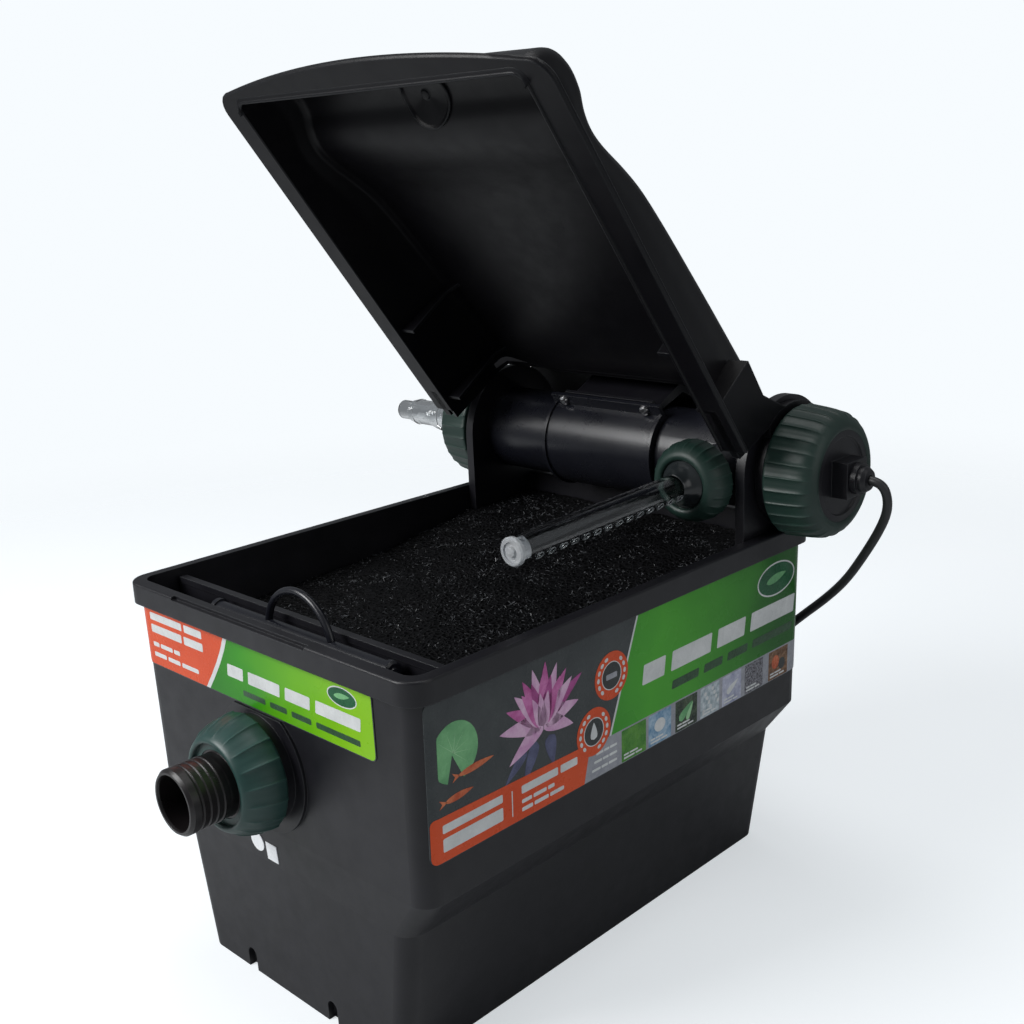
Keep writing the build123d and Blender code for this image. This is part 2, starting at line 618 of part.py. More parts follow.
# ---------------------------------------------------------------- write the parts
save("tub", tub())
save("lid", opened(lid_closed()))
save("uv_tube", uv_tube())
save("tube_bush_right", tube_bush(1))
save("tube_bush_left", tube_bush(-1))
save("saddle_strap", saddle_strap())
save("strap_screws", strap_screws())
save("rear_bracket", rear_bracket())
save("bracket_screws", bracket_screws())
save("lamp_ring_nut", big_nut(ALONG_X))
save("inlet_ring_nut", big_nut(ALONG_NEG_X))
save("lamp_end_cap", lamp_end_cap())
save("lamp_end_seal", ring(TUBE_R, TUBE_BORE - 4.4, 166.1, 167.9, ALONG_X))
save("ballast", ring(20.8, 5, 150.5, 164, ALONG_X))
save("sleeve_seal", ring(24.0, 15.2, 144.5, 149.6, ALONG_X))
save("quartz_sleeve", quartz_sleeve())
save("lamp_tubes", lamp_tubes())
save("lamp_base", lamp_base())
save("lamp_holder", ring(13.2, 7.0, 138.3, 148, ALONG_X))
save("inlet_seal", ring(TUBE_R, 20, 166.1, 168.2, ALONG_NEG_X))
save("inlet_hosetail", inlet_hosetail())
save("spray_ring_nut", spray_ring_nut())
save("spray_seal", ring(17.5, 13.0, 62.05, 62.25, BAR))
save("spray_bar", spray_bar())
save("spray_bar_cap", spray_bar_cap())
save("outlet_washer", ring(33.0, 26.3, 174.85, 177.0, OUTWARD))
save("outlet_bulkhead", outlet_bulkhead())
save("outlet_seal", ring(24.5, 18.5, 208.55, 208.85, OUTWARD))
save("outlet_ring_nut", outlet_ring_nut())
save("outlet_hosetail", outlet_hosetail())
save("divider_plate", divider_plate())
save("strainer_bar", rod(5.5, -68, 92, Location((0, -161, 240), (0, 90, 0))))
save("strainer_bar_caps", Compound([
    turned([(0, 0), (6.6, 0), (6.6, 3.4), (5.2, 4.4), (3.0, 4.4), (2.6, 5.2), (0, 5.4)],
           Location((x, -161, 240), (0, 90 * side, 0))) for x, side in ((92.0, 1), (-68.0, -1))]))
save("strainer_handle", bar_handle() - rod(5.5, -69, 93, Location((0, -161, 240), (0, 90, 0))))
save("outlet_screen", outlet_screen())
save("foam_coarse", top_foam())
save("foam_medium", inside(-148.0, 177.0, 122.0, 165.6, 0.6))
save("foam_fine", inside(-147.6, 176.0, 66.4, 121.6, 0.8))
save("media_grid", media_grid())
save("bio_media", bio_media())
save("side_label", side_label())
save("front_label", front_label())
round_one, square_one = stickers()
save("round_sticker", round_one)
save("square_sticker", square_one)
save("cable_gland", turned([(3.4, 184.4), (10.5, 184.4), (10.5, 188.5), (8.6, 188.5),
                            (8.6, 191.0), (6.8, 193.6), (3.4, 194.0)], ALONG_X))
save("mains_cable", cable_tube("mains_cable", CABLE_ROUTE))
save("cable_coil", Pos(*COIL_CENTRE, COIL_H / 2) * (
    Cylinder(COIL_MID_R + COIL_HALF, COIL_H) - Cylinder(COIL_MID_R - COIL_HALF, COIL_H + 2)))
save("cable_tail", cable_tube("cable_tail", TAIL_ROUTE))
save("plug_body", plug_body())
save("plug_pins", plug_pins())
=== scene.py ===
import json
import math
import random

import bmesh
import bpy
from mathutils import Matrix, Vector, noise


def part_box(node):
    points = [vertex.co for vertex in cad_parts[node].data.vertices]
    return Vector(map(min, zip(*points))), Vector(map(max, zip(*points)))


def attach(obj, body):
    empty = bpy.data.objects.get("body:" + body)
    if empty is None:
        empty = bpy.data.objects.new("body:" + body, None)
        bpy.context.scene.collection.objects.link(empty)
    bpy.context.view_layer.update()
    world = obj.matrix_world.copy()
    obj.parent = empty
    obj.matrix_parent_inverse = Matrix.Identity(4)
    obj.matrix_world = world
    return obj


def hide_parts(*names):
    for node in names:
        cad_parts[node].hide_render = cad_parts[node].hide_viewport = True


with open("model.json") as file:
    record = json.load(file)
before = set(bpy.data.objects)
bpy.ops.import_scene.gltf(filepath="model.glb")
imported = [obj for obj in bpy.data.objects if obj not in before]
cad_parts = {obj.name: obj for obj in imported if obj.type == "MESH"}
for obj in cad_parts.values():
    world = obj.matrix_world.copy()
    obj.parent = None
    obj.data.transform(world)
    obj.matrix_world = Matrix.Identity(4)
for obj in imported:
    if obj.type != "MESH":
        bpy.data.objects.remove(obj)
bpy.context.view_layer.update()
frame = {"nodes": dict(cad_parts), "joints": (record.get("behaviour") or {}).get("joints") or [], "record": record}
NODES = frame["nodes"]
MM = 0.001
SCENE = bpy.context.scene

HINGE = next(j for j in frame["joints"] if j["name"] == "lid_hinge")
TUBE_Y, TUBE_Z = HINGE["pos_m"][1], HINGE["pos_m"][2]
LID_OPEN = math.radians(53)


# ------------------------------------------------------------------ camera
def make_camera():
    az, el, roll = math.radians(44.97), math.radians(15.44), math.radians(-2.61)
    back = Vector((math.sin(az) * math.cos(el), -math.cos(az) * math.cos(el), math.sin(el)))
    side = Vector((0, 0, 1)).cross(back).normalized()
    over = back.cross(side)
    right = side * math.cos(roll) + over * math.sin(roll)
    up = over * math.cos(roll) - side * math.sin(roll)
    data = bpy.data.cameras.new("camera")
    data.lens, data.sensor_width = 44.77, 36.0
    data.clip_start, data.clip_end = 0.02, 30
    cam = bpy.data.objects.new("camera", data)
    SCENE.collection.objects.link(cam)
    cam.matrix_world = Matrix((
        (right.x, up.x, back.x, 0.59124),
        (right.y, up.y, back.y, -0.56181),
        (right.z, up.z, back.z, 0.50114),
        (0, 0, 0, 1)))
    SCENE.camera = cam


make_camera()


# ------------------------------------------------------------------ materials
def new_material(name):
    mat = bpy.data.materials.new(name)
    mat.use_nodes = True
    tree = mat.node_tree
    shader = tree.nodes["Principled BSDF"]
    return mat, tree, shader


def node(tree, kind, **values):
    """A shader node with its plain inputs set by name."""
    made = tree.nodes.new(kind)
    for key, value in values.items():
        if hasattr(made, key):
            setattr(made, key, value)
        else:
            made.inputs[key.replace("_", " ")].default_value = value
    return made


def two_tone(tree, source, low, high, start=0.35, stop=0.65):
    """A colour ramp from low to high over part of source's range."""
    ramp = tree.nodes.new("ShaderNodeValToRGB")
    ramp.color_ramp.elements[0].position = start
    ramp.color_ramp.elements[1].position = stop
    ramp.color_ramp.elements[0].color = (*low, 1)
    ramp.color_ramp.elements[1].color = (*high, 1)
    tree.links.new(source, ramp.inputs["Fac"])
    return ramp.outputs["Color"]


def plastic(name, low, high, rough=(0.36, 0.5), patch=22, grain=1500, bump=0.12,
            round_edge=0.0006, edge=None, **sockets):
    """A moulded surface: uneven tone, fine grain, soft edges, with a paler edge where wanted."""
    mat, tree, shader = new_material(name)
    link = tree.links.new
    place = tree.nodes.new("ShaderNodeTexCoord")
    cloud = node(tree, "ShaderNodeTexNoise", Scale=patch, Detail=5, Roughness=0.6)
    fine = node(tree, "ShaderNodeTexNoise", Scale=grain, Detail=2, Roughness=0.5)
    smear = node(tree, "ShaderNodeTexNoise", Scale=patch * 3.1, Detail=6, Roughness=0.65)
    for n in (cloud, fine, smear):
        link(place.outputs["Object"], n.inputs["Vector"])
    colour = two_tone(tree, cloud.outputs["Fac"], low, high)
    gloss = node(tree, "ShaderNodeMapRange", From_Min=0.3, From_Max=0.7, To_Min=rough[0],
                 To_Max=rough[1])
    link(smear.outputs["Fac"], gloss.inputs["Value"])
    link(gloss.outputs["Result"], shader.inputs["Roughness"])
    raised = node(tree, "ShaderNodeBump", Strength=bump, Distance=0.0002)
    link(fine.outputs["Fac"], raised.inputs["Height"])
    if round_edge:
        soft = node(tree, "ShaderNodeBevel", samples=4, Radius=round_edge)
        link(soft.outputs["Normal"], raised.inputs["Normal"])
    if edge:
        wide = node(tree, "ShaderNodeBevel", samples=4, Radius=round_edge * 1.8)
        flat = tree.nodes.new("ShaderNodeNewGeometry")
        dot = node(tree, "ShaderNodeVectorMath", operation="DOT_PRODUCT")
        link(wide.outputs["Normal"], dot.inputs[0])
        link(flat.outputs["Normal"], dot.inputs[1])
        mask = node(tree, "ShaderNodeMapRange", From_Min=0.995, From_Max=0.9, To_Min=0,
                    To_Max=0.8)
        link(dot.outputs["Value"], mask.inputs["Value"])
        mix = node(tree, "ShaderNodeMix", data_type="RGBA")
        link(mask.outputs["Result"], mix.inputs["Factor"])
        link(colour, mix.inputs["A"])
        mix.inputs["B"].default_value = (*edge, 1)
        colour = mix.outputs["Result"]
    link(colour, shader.inputs["Base Color"])
    link(raised.outputs["Normal"], shader.inputs["Normal"])
    for key, value in sockets.items():
        shader.inputs[key.replace("_", " ")].default_value = value
    return mat


def clear(name, tint, deep, rough=(0.04, 0.14), through=0.85, ior=1.49, alpha=1.0):
    """Clear moulded plastic or glass, faintly streaked."""
    mat, tree, shader = new_material(name)
    link = tree.links.new
    place = tree.nodes.new("ShaderNodeTexCoord")
    streak = node(tree, "ShaderNodeTexNoise", Scale=90, Detail=4)
    ripple = node(tree, "ShaderNodeTexNoise", Scale=160, Detail=2)
    for n in (streak, ripple):
        link(place.outputs["Object"], n.inputs["Vector"])
    link(two_tone(tree, streak.outputs["Fac"], deep, tint), shader.inputs["Base Color"])
    gloss = node(tree, "ShaderNodeMapRange", To_Min=rough[0], To_Max=rough[1])
    link(streak.outputs["Fac"], gloss.inputs["Value"])
    link(gloss.outputs["Result"], shader.inputs["Roughness"])
    wave = node(tree, "ShaderNodeBump", Strength=0.25, Distance=0.0004)
    link(ripple.outputs["Fac"], wave.inputs["Height"])
    link(wave.outputs["Normal"], shader.inputs["Normal"])
    shader.inputs["Transmission Weight"].default_value = through
    shader.inputs["IOR"].default_value = ior
    shader.inputs["Alpha"].default_value = alpha
    return mat


def metal(name, low, high, rough=(0.22, 0.4)):
    return plastic(name, low, high, rough, patch=120, grain=2600, bump=0.2, round_edge=0.0003,
                   Metallic=1.0)


def foam_material(name, low, high, cell=260):
    """Open-cell foam: a net of paler strands over dark cells."""
    mat, tree, shader = new_material(name)
    link = tree.links.new
    place = tree.nodes.new("ShaderNodeTexCoord")
    cells = node(tree, "ShaderNodeTexVoronoi", feature="DISTANCE_TO_EDGE", Scale=cell)
    cloud = node(tree, "ShaderNodeTexNoise", Scale=40, Detail=4)
    link(place.outputs["Object"], cells.inputs["Vector"])
    link(place.outputs["Object"], cloud.inputs["Vector"])
    link(two_tone(tree, cells.outputs["Distance"], high, low, 0.02, 0.22),
         shader.inputs["Base Color"])
    gloss = node(tree, "ShaderNodeMapRange", To_Min=0.35, To_Max=0.7)
    link(cloud.outputs["Fac"], gloss.inputs["Value"])
    link(gloss.outputs["Result"], shader.inputs["Roughness"])
    pits = node(tree, "ShaderNodeBump", Strength=1.0, Distance=0.002, invert=True)
    link(cells.outputs["Distance"], pits.inputs["Height"])
    link(pits.outputs["Normal"], shader.inputs["Normal"])
    shader.inputs["Specular IOR Level"].default_value = 0.12
    return mat


def ink(name, low, high, patch=60, rough=(0.2, 0.34)):
    """Printed film in one uneven colour, lightly glossy."""
    return plastic(name, low, high, rough, patch=patch, grain=2500, bump=0.03, round_edge=0,
                   Specular_IOR_Level=0.22)


def blended_ink(name, axis, start, stop, stops):
    """Printed film whose colour runs along one axis of the row frame, between two places."""
    mat, tree, shader = new_material(name)
    link = tree.links.new
    place = tree.nodes.new("ShaderNodeTexCoord")
    apart = tree.nodes.new("ShaderNodeSeparateXYZ")
    link(place.outputs["Object"], apart.inputs["Vector"])
    cloud = node(tree, "ShaderNodeTexNoise", Scale=30, Detail=3)
    link(place.outputs["Object"], cloud.inputs["Vector"])
    run = node(tree, "ShaderNodeMapRange", From_Min=start, From_Max=stop)
    link(apart.outputs[axis], run.inputs["Value"])
    shift = node(tree, "ShaderNodeMath", operation="MULTIPLY_ADD")
    shift.inputs[1].default_value = 0.25
    link(cloud.outputs["Fac"], shift.inputs[0])
    link(run.outputs["Result"], shift.inputs[2])
    ramp = tree.nodes.new("ShaderNodeValToRGB")
    while len(ramp.color_ramp.elements) < len(stops):
        ramp.color_ramp.elements.new(0.5)
    for element, (at, colour) in zip(ramp.color_ramp.elements, stops):
        element.position, element.color = at, (*colour, 1)
    link(shift.outputs["Value"], ramp.inputs["Fac"])
    link(ramp.outputs["Color"], shader.inputs["Base Color"])
    gloss = node(tree, "ShaderNodeMapRange", To_Min=0.2, To_Max=0.36)
    link(cloud.outputs["Fac"], gloss.inputs["Value"])
    link(gloss.outputs["Result"], shader.inputs["Roughness"])
    shader.inputs["Specular IOR Level"].default_value = 0.22
    return mat


BLACK = plastic("black_plastic", (0.0062, 0.0060, 0.0084), (0.0088, 0.0086, 0.0118),
                (0.34, 0.46), edge=(0.03, 0.032, 0.036), Specular_IOR_Level=0.42)
LID = plastic("lid_plastic", (0.0036, 0.0034, 0.0046), (0.0050, 0.0047, 0.0062), (0.30, 0.42),
              round_edge=0.001, edge=(0.022, 0.024, 0.027), Specular_IOR_Level=0.2)
LID_DULL = plastic("lid_dull", (0.0024, 0.0023, 0.0031), (0.0034, 0.0032, 0.0042), (0.6, 0.75),
                   round_edge=0.001, Specular_IOR_Level=0.08)
TUBE = plastic("tube_plastic", (0.0070, 0.0076, 0.0115), (0.0095, 0.0102, 0.0150),
               (0.25, 0.33))
GREEN = plastic("green_plastic", (0.0060, 0.022, 0.0165), (0.0090, 0.031, 0.0240), (0.42, 0.55),
                edge=(0.03, 0.07, 0.055))
OUT_GREEN = plastic("outlet_green", (0.013, 0.045, 0.040), (0.020, 0.062, 0.055),
                    (0.34, 0.46), edge=(0.06, 0.14, 0.125))
TAIL = plastic("tail_plastic", (0.0060, 0.0050, 0.0054), (0.0100, 0.0082, 0.0088), (0.26, 0.38),
               edge=(0.03, 0.026, 0.028))
CLEAR = clear("clear_plastic", (0.97, 0.98, 0.985), (0.93, 0.95, 0.96), (0.02, 0.06), 1.0)
CAP = clear("cap_plastic", (0.95, 0.97, 0.99), (0.78, 0.82, 0.86), (0.04, 0.14), through=0.6)
QUARTZ = clear("quartz", (0.95, 0.97, 0.98), (0.9, 0.93, 0.95), (0.02, 0.05), through=0.95)
LAMP_GLASS = clear("lamp_glass", (0.93, 0.95, 0.98), (0.85, 0.88, 0.93), through=0.6)
WHITE = plastic("white_plastic", (0.70, 0.70, 0.67), (0.80, 0.80, 0.77), (0.35, 0.5))
RESIN = plastic("resin", (0.05, 0.05, 0.052), (0.09, 0.09, 0.092), (0.2, 0.3), patch=60)
RUBBER = plastic("rubber", (0.012, 0.012, 0.012), (0.02, 0.02, 0.02), (0.6, 0.75))
STEEL = metal("stainless", (0.42, 0.42, 0.43), (0.62, 0.62, 0.63))
BRASS = metal("brass", (0.55, 0.40, 0.17), (0.72, 0.55, 0.26))
FOAM = foam_material("foam", (0.0005, 0.0005, 0.0007), (0.006, 0.006, 0.007))
FOAM_GREEN = foam_material("foam_green", (0.01, 0.035, 0.018), (0.05, 0.15, 0.07), 420)
FOAM_BLUE = foam_material("foam_blue", (0.012, 0.03, 0.06), (0.06, 0.13, 0.22), 600)
STICKER = ink("sticker", (0.78, 0.80, 0.82), (0.86, 0.88, 0.90))
CABLE = plastic("cable", (0.013, 0.013, 0.014), (0.020, 0.020, 0.022), (0.38, 0.5), patch=80,
                round_edge=0)
PLUG = plastic("plug_plastic", (0.014, 0.014, 0.015), (0.022, 0.022, 0.023), (0.4, 0.52))
LABEL_BASE = ink("label_film", (0.045, 0.052, 0.055), (0.060, 0.068, 0.070), 40)

SLOTS = {
    "black_plastic": BLACK, "lid_plastic": LID, "tube_plastic": TUBE, "green_plastic": GREEN,
    "outlet_green": OUT_GREEN, "tail_plastic": TAIL, "clear_plastic": CLEAR, "cap_plastic": CAP,
    "quartz": QUARTZ, "lamp_glass": LAMP_GLASS, "white_plastic": WHITE, "resin": RESIN,
    "rubber": RUBBER, "stainless": STEEL, "brass": BRASS, "foam": FOAM,
    "foam_green": FOAM_GREEN, "foam_blue": FOAM_BLUE, "label": LABEL_BASE, "sticker": STICKER,
    "cable": CABLE, "plug_plastic": PLUG}

for part in frame["record"]["subparts"]:
    obj = NODES[part["node"]]
    obj.data.materials.clear()
    obj.data.materials.append(SLOTS[part["material_slot"]])


# ------------------------------------------------------------------ mesh helpers
def placed(mesh, name, body, smooth):
    """An object for a mesh, with edges over smooth degrees sharp, that rides on a body."""
    mesh.shade_smooth()
    mesh.set_sharp_from_angle(angle=math.radians(smooth))
    obj = bpy.data.objects.new(name, mesh)
    SCENE.collection.objects.link(obj)
    if body:
        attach(obj, body)
    return obj


def finish_mesh(bm, name, mats, body, smooth=35):
    """Turn a bmesh into a piece that rides on a body."""
    mesh = bpy.data.meshes.new(name)
    bm.normal_update()
    bm.to_mesh(mesh)
    bm.free()
    for mat in mats:
        mesh.materials.append(mat)
    return placed(mesh, name, body, smooth)


def baked(obj, name, body, smooth=35):
    """Apply an object's modifiers into a new piece and drop the old one."""
    graph = bpy.context.evaluated_depsgraph_get()
    mesh = bpy.data.meshes.new_from_object(obj.evaluated_get(graph))
    mats = list(obj.data.materials)
    bpy.data.objects.remove(obj)
    mesh.name = name
    mesh.materials.clear()
    for mat in mats:
        mesh.materials.append(mat)
    return placed(mesh, name, body, smooth)


def cut(obj, tools, operation="DIFFERENCE"):
    """Boolean modifiers on obj for each tool object."""
    for tool in tools:
        mod = obj.modifiers.new("cut", "BOOLEAN")
        mod.operation, mod.object, mod.solver = operation, tool, "EXACT"


def drop(objects):
    for o in objects:
        bpy.data.objects.remove(o)


def loose_object(bm, name, mats=()):
    mesh = bpy.data.meshes.new(name)
    bm.normal_update()
    bm.to_mesh(mesh)
    bm.free()
    for mat in mats:
        mesh.materials.append(mat)
    obj = bpy.data.objects.new(name, mesh)
    SCENE.collection.objects.link(obj)
    return obj


def stitch(bm, loops, closed=False, caps=False):
    """Join matching loops of vertices with quads; caps fills the first loop and the last."""
    for a, b in zip(loops, loops[1:] + loops[:1] if closed else loops[1:]):
        for k in range(len(a)):
            m = (k + 1) % len(a)
            bm.faces.new((a[k], a[m], b[m], b[k]))
    if caps:
        bm.faces.new(loops[0])
        bm.faces.new(list(reversed(loops[-1])))


def prism(bm, low, high):
    """Add a solid between two matching outlines."""
    low, high = [bm.verts.new(p) for p in low], [bm.verts.new(p) for p in high]
    bm.faces.new(low)
    bm.faces.new(list(reversed(high)))
    for k in range(len(low)):
        m = (k + 1) % len(low)
        bm.faces.new((low[k], high[k], high[m], low[m]))
    bmesh.ops.recalc_face_normals(bm, faces=bm.faces)


def lathe_x(name, outline, y, z, segments=96):
    """A closed turned solid about a line along X, from (x, radius) points; for cutting."""
    bm = bmesh.new()
    rings = []
    for x, r in outline:
        rings.append([bm.verts.new((x, y - r * math.sin(2 * math.pi * k / segments),
                                    z + r * math.cos(2 * math.pi * k / segments)))
                      for k in range(segments)])
    stitch(bm, rings, caps=True)
    bmesh.ops.recalc_face_normals(bm, faces=bm.faces)
    return loose_object(bm, name)


def block(name, x0, x1, y0, y1, z0, z1):
    """A plain block for cutting."""
    bm = bmesh.new()
    bmesh.ops.create_cube(bm, size=1)
    for v in bm.verts:
        v.co = Vector((x0 if v.co.x < 0 else x1, y0 if v.co.y < 0 else y1,
                       z0 if v.co.z < 0 else z1))
    return loose_object(bm, name)


def plate_x(bm, outline, x0, x1):
    """Add a flat plate from (y, z) points between two places along X."""
    prism(bm, [(x0, y, z) for y, z in outline], [(x1, y, z) for y, z in outline])


def tube_along(name, points, radius, mat, body, cyclic=False, fill=True):
    """A round bead along points, as a mesh made from a bevelled curve."""
    curve = bpy.data.curves.new(name, "CURVE")
    curve.dimensions = "3D"
    spline = curve.splines.new("POLY")
    spline.points.add(len(points) - 1)
    for p, co in zip(spline.points, points):
        p.co = (*co, 1)
    spline.use_cyclic_u = cyclic
    curve.bevel_depth = radius
    curve.bevel_resolution = 3
    curve.use_fill_caps = fill
    curve.materials.append(mat)
    obj = bpy.data.objects.new(name + "_line", curve)
    SCENE.collection.objects.link(obj)
    bpy.context.view_layer.update()
    return baked(obj, name, body, smooth=50)


# ------------------------------------------------------------------ mains cable
ROUTE = [(194, 164, 292), (200.5, 164.2, 291.3), (204.5, 166.5, 284.5), (203.5, 170.5, 271.5),
         (195, 175.5, 255), (181.5, 181, 234.5), (165, 188, 212), (145, 195, 192),
         (121, 200, 171), (96, 203, 147), (74, 205, 119), (54, 206.5, 91), (33, 208, 65),
         (9, 210, 42), (-17, 210, 22.5), (-44, 208, 9), (-72, 205.5, 3.6), (-97, 206, 3.15)]
TAIL_ROUTE = [(-116, 291, 34), (-98, 295.5, 33), (-80, 295.5, 26), (-64, 293.5, 18.5),
              (-48, 293, 17)]
COIL = (-100.0, 250.0)
CABLE_D = 6.2
COIL_IN, COIL_OUT = 23.8, 44.2
LAYERS, LAYER_TURNS, LIFT_TURNS = 6, 3.25, 0.2
PER_TURN = 20


def coil_points():
    """Centre points of the wound cable: each layer winds in or out, then lifts to the next."""
    points = []
    angle = -math.pi / 2
    for layer in range(LAYERS):
        r0, r1 = (COIL_OUT, COIL_IN) if layer % 2 == 0 else (COIL_IN, COIL_OUT)
        z = CABLE_D / 2 + 0.05 + layer * CABLE_D
        steps = round(PER_TURN * LAYER_TURNS)
        for k in range(1 if layer == 0 else 0, steps + 1):
            t = k / steps
            a = angle - 2 * math.pi * LAYER_TURNS * t
            r = r0 + (r1 - r0) * t
            points.append((COIL[0] + r * math.cos(a), COIL[1] + r * math.sin(a), z))
        angle -= 2 * math.pi * (LAYER_TURNS + LIFT_TURNS)
    return points


def make_cable():
    points = [*ROUTE, *coil_points(), *TAIL_ROUTE]
    curve = bpy.data.curves.new("mains_lead", "CURVE")
    curve.dimensions = "3D"
    spline = curve.splines.new("NURBS")
    spline.points.add(len(points) - 1)
    for p, (x, y, z) in zip(spline.points, points):
        p.co = (x * MM, y * MM, z * MM, 1)
    spline.order_u = 3
    spline.use_endpoint_u = True
    curve.resolution_u = 6
    curve.bevel_depth = CABLE_D / 2 * MM
    curve.bevel_resolution = 4
    curve.use_fill_caps = True
    curve.materials.append(CABLE)
    lead = bpy.data.objects.new("mains_lead", curve)
    SCENE.collection.objects.link(lead)
    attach(lead, "tub")
    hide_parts("mains_cable", "cable_coil", "cable_tail")
    return lead


def cable_tie():
    """A flat tie round the coil's section, with its small head on top."""
    bm = bmesh.new()
    angle = math.radians(200)
    out = Vector((math.cos(angle), math.sin(angle), 0))
    along = Vector((-out.y, out.x, 0))
    centre = Vector((COIL[0], COIL[1], 0)) + out * (COIL_IN + COIL_OUT) / 2
    half, low, high, corner = 14.0, 0.3, 37.9, 4.0
    ring = []
    for cx, cz, start in ((half - corner, high - corner, 0), (-half + corner, high - corner, 90),
                          (-half + corner, low + corner, 180), (half - corner, low + corner, 270)):
        for k in range(7):
            a = math.radians(start + 15 * k)
            ring.append((cx + corner * math.cos(a), cz + corner * math.sin(a), a))
    loops = []
    for grow, shift in ((0, -2.3), (0.9, -2.1), (0.9, 2.1), (0, 2.3)):
        loops.append([bm.verts.new((centre + out * (u + grow * math.cos(a)) + along * shift
                                    + Vector((0, 0, v + grow * math.sin(a)))) * MM)
                      for u, v, a in ring])
    stitch(bm, loops, closed=True)
    for k in range(2):
        bmesh.ops.create_cube(bm, size=1, matrix=Matrix.Translation(
            (centre + out * (4 + 5 * k) + Vector((0, 0, high + 1.8))) * MM)
            @ Matrix.Rotation(angle, 4, "Z")
            @ Matrix.Diagonal((5 * MM if k == 0 else 9 * MM, (6.4 - 2.6 * k) * MM,
                               (3.6 - 2.2 * k) * MM, 1)))
    bmesh.ops.recalc_face_normals(bm, faces=bm.faces)
    return finish_mesh(bm, "cable_tie", [PLUG], "tub")


LEAD = make_cable()
TIE = cable_tie()


# ------------------------------------------------------------------ lid
ROOF = [(-184, 252.5), (-182.4, 262), (-179, 275), (-171, 286.5), (-158, 292), (-144, 291),
        (-133, 286), (-122, 284.5), (-108, 287.5), (-88, 294.6), (-68, 300), (-38, 304),
        (0, 307.5), (40, 310.8), (85, 314), (128, 317)]
LID_LOW = 252.5
WIDE, LEAN = 128.0, 10.5 / 72.5
LID_T = 3.0
EDGE_R = 9.0
OPEN = (Matrix.Translation((0, TUBE_Y, TUBE_Z)) @ Matrix.Rotation(-LID_OPEN, 4, "X")
        @ Matrix.Translation((0, -TUBE_Y, -TUBE_Z)))


def catmull(points, per_span):
    """A smooth line through 2-D points."""
    out = []
    padded = [points[0], *points, points[-1]]
    for a, b, c, d in zip(padded, padded[1:], padded[2:], padded[3:]):
        for k in range(per_span):
            t = k / per_span
            out.append(tuple(
                0.5 * (2 * q + (r - p) * t + (2 * p - 5 * q + 4 * r - s) * t * t
                       + (3 * q - p - 3 * r + s) * t ** 3)
                for p, q, r, s in zip(a, b, c, d)))
    out.append(tuple(points[-1]))
    return out


PROFILE = catmull(ROOF, 5)


def side_x(z):
    """Half width of the lid's outside at a height."""
    return WIDE - (z - LID_LOW) * LEAN


def roof_z(y):
    """Height of the roof's outside at a place behind its front edge."""
    for (y0, z0), (y1, z1) in zip(PROFILE, PROFILE[1:]):
        if y0 <= y <= y1:
            return z0 + (z1 - z0) * (y - y0) / max(y1 - y0, 1e-6)
    return ROOF[-1][1]


def lid_surface():
    """The lid's outer skin: roof, rounded edges and leaning side walls, as one grid."""
    bm = bmesh.new()
    rows = []
    count = len(PROFILE)
    for i, (y, z) in enumerate(PROFILE):
        before, after = PROFILE[max(i - 1, 0)], PROFILE[min(i + 1, count - 1)]
        ty, tz = after[0] - before[0], after[1] - before[1]
        size = math.hypot(ty, tz)
        ny, nz = -tz / size, ty / size
        inner_y, inner_z = y - EDGE_R * ny, max(z - EDGE_R * nz, LID_LOW)
        half = side_x(z)
        right = []
        for k in range(6):
            t = k / 6
            zz = LID_LOW + (inner_z - LID_LOW) * t
            right.append((side_x(zz), inner_y, zz))
        for k in range(7):
            a = math.radians(15 * k)
            c_z = z - EDGE_R * nz * (1 - math.sin(a))
            right.append((half - EDGE_R * (1 - math.cos(a)), y - EDGE_R * ny * (1 - math.sin(a)),
                          max(c_z, LID_LOW)))
        roof = []
        flat = half - EDGE_R
        for k in range(1, 24):
            x = flat * (1 - k / 12)
            crown = 1.2 * (1 - (x / flat) ** 2) if y > -175 else 0
            roof.append((x, y + crown * ny, z + crown * nz))
        left = [(-x, yy, zz) for x, yy, zz in reversed(right)]
        rows.append([bm.verts.new(Vector(p) * MM) for p in [*right, *roof, *left]])
    for a, b in zip(rows, rows[1:]):
        for k in range(len(a) - 1):
            bm.faces.new((a[k], a[k + 1], b[k + 1], b[k]))
    bmesh.ops.remove_doubles(bm, verts=bm.verts, dist=2e-5)
    bmesh.ops.dissolve_degenerate(bm, edges=bm.edges, dist=1e-6)
    bmesh.ops.recalc_face_normals(bm, faces=bm.faces)
    top = max(bm.faces, key=lambda f: f.calc_center_median().z)
    if top.normal.z < 0:
        bmesh.ops.reverse_faces(bm, faces=bm.faces)
    return bm


def flange_paths():
    """Matching outer and inner points round the lid's flange, from rear right to rear left."""
    pairs = []
    for k in range(15):
        y = 104 - (104 + 172) * k / 14
        pairs.append(((144.5, y), (126.0, y)))
    for k in range(1, 7):
        a = math.radians(15 * k)
        pairs.append(((130.5 + 14 * math.cos(a), -172 - 15.5 * math.sin(a)),
                      (118 + 8 * math.cos(a), -172.5 - 8 * math.sin(a))))
    for k in range(1, 41):
        t = k / 41
        x = 130.5 - 261 * t
        bow = 1 - (x / 130.5) ** 2
        pairs.append(((x, -187.5 - 11.5 * bow), (118 - 236 * t, -180.5)))
    mirrored = [((-a, b), (-c, d)) for (a, b), (c, d) in reversed(pairs[:21])]
    return pairs + mirrored


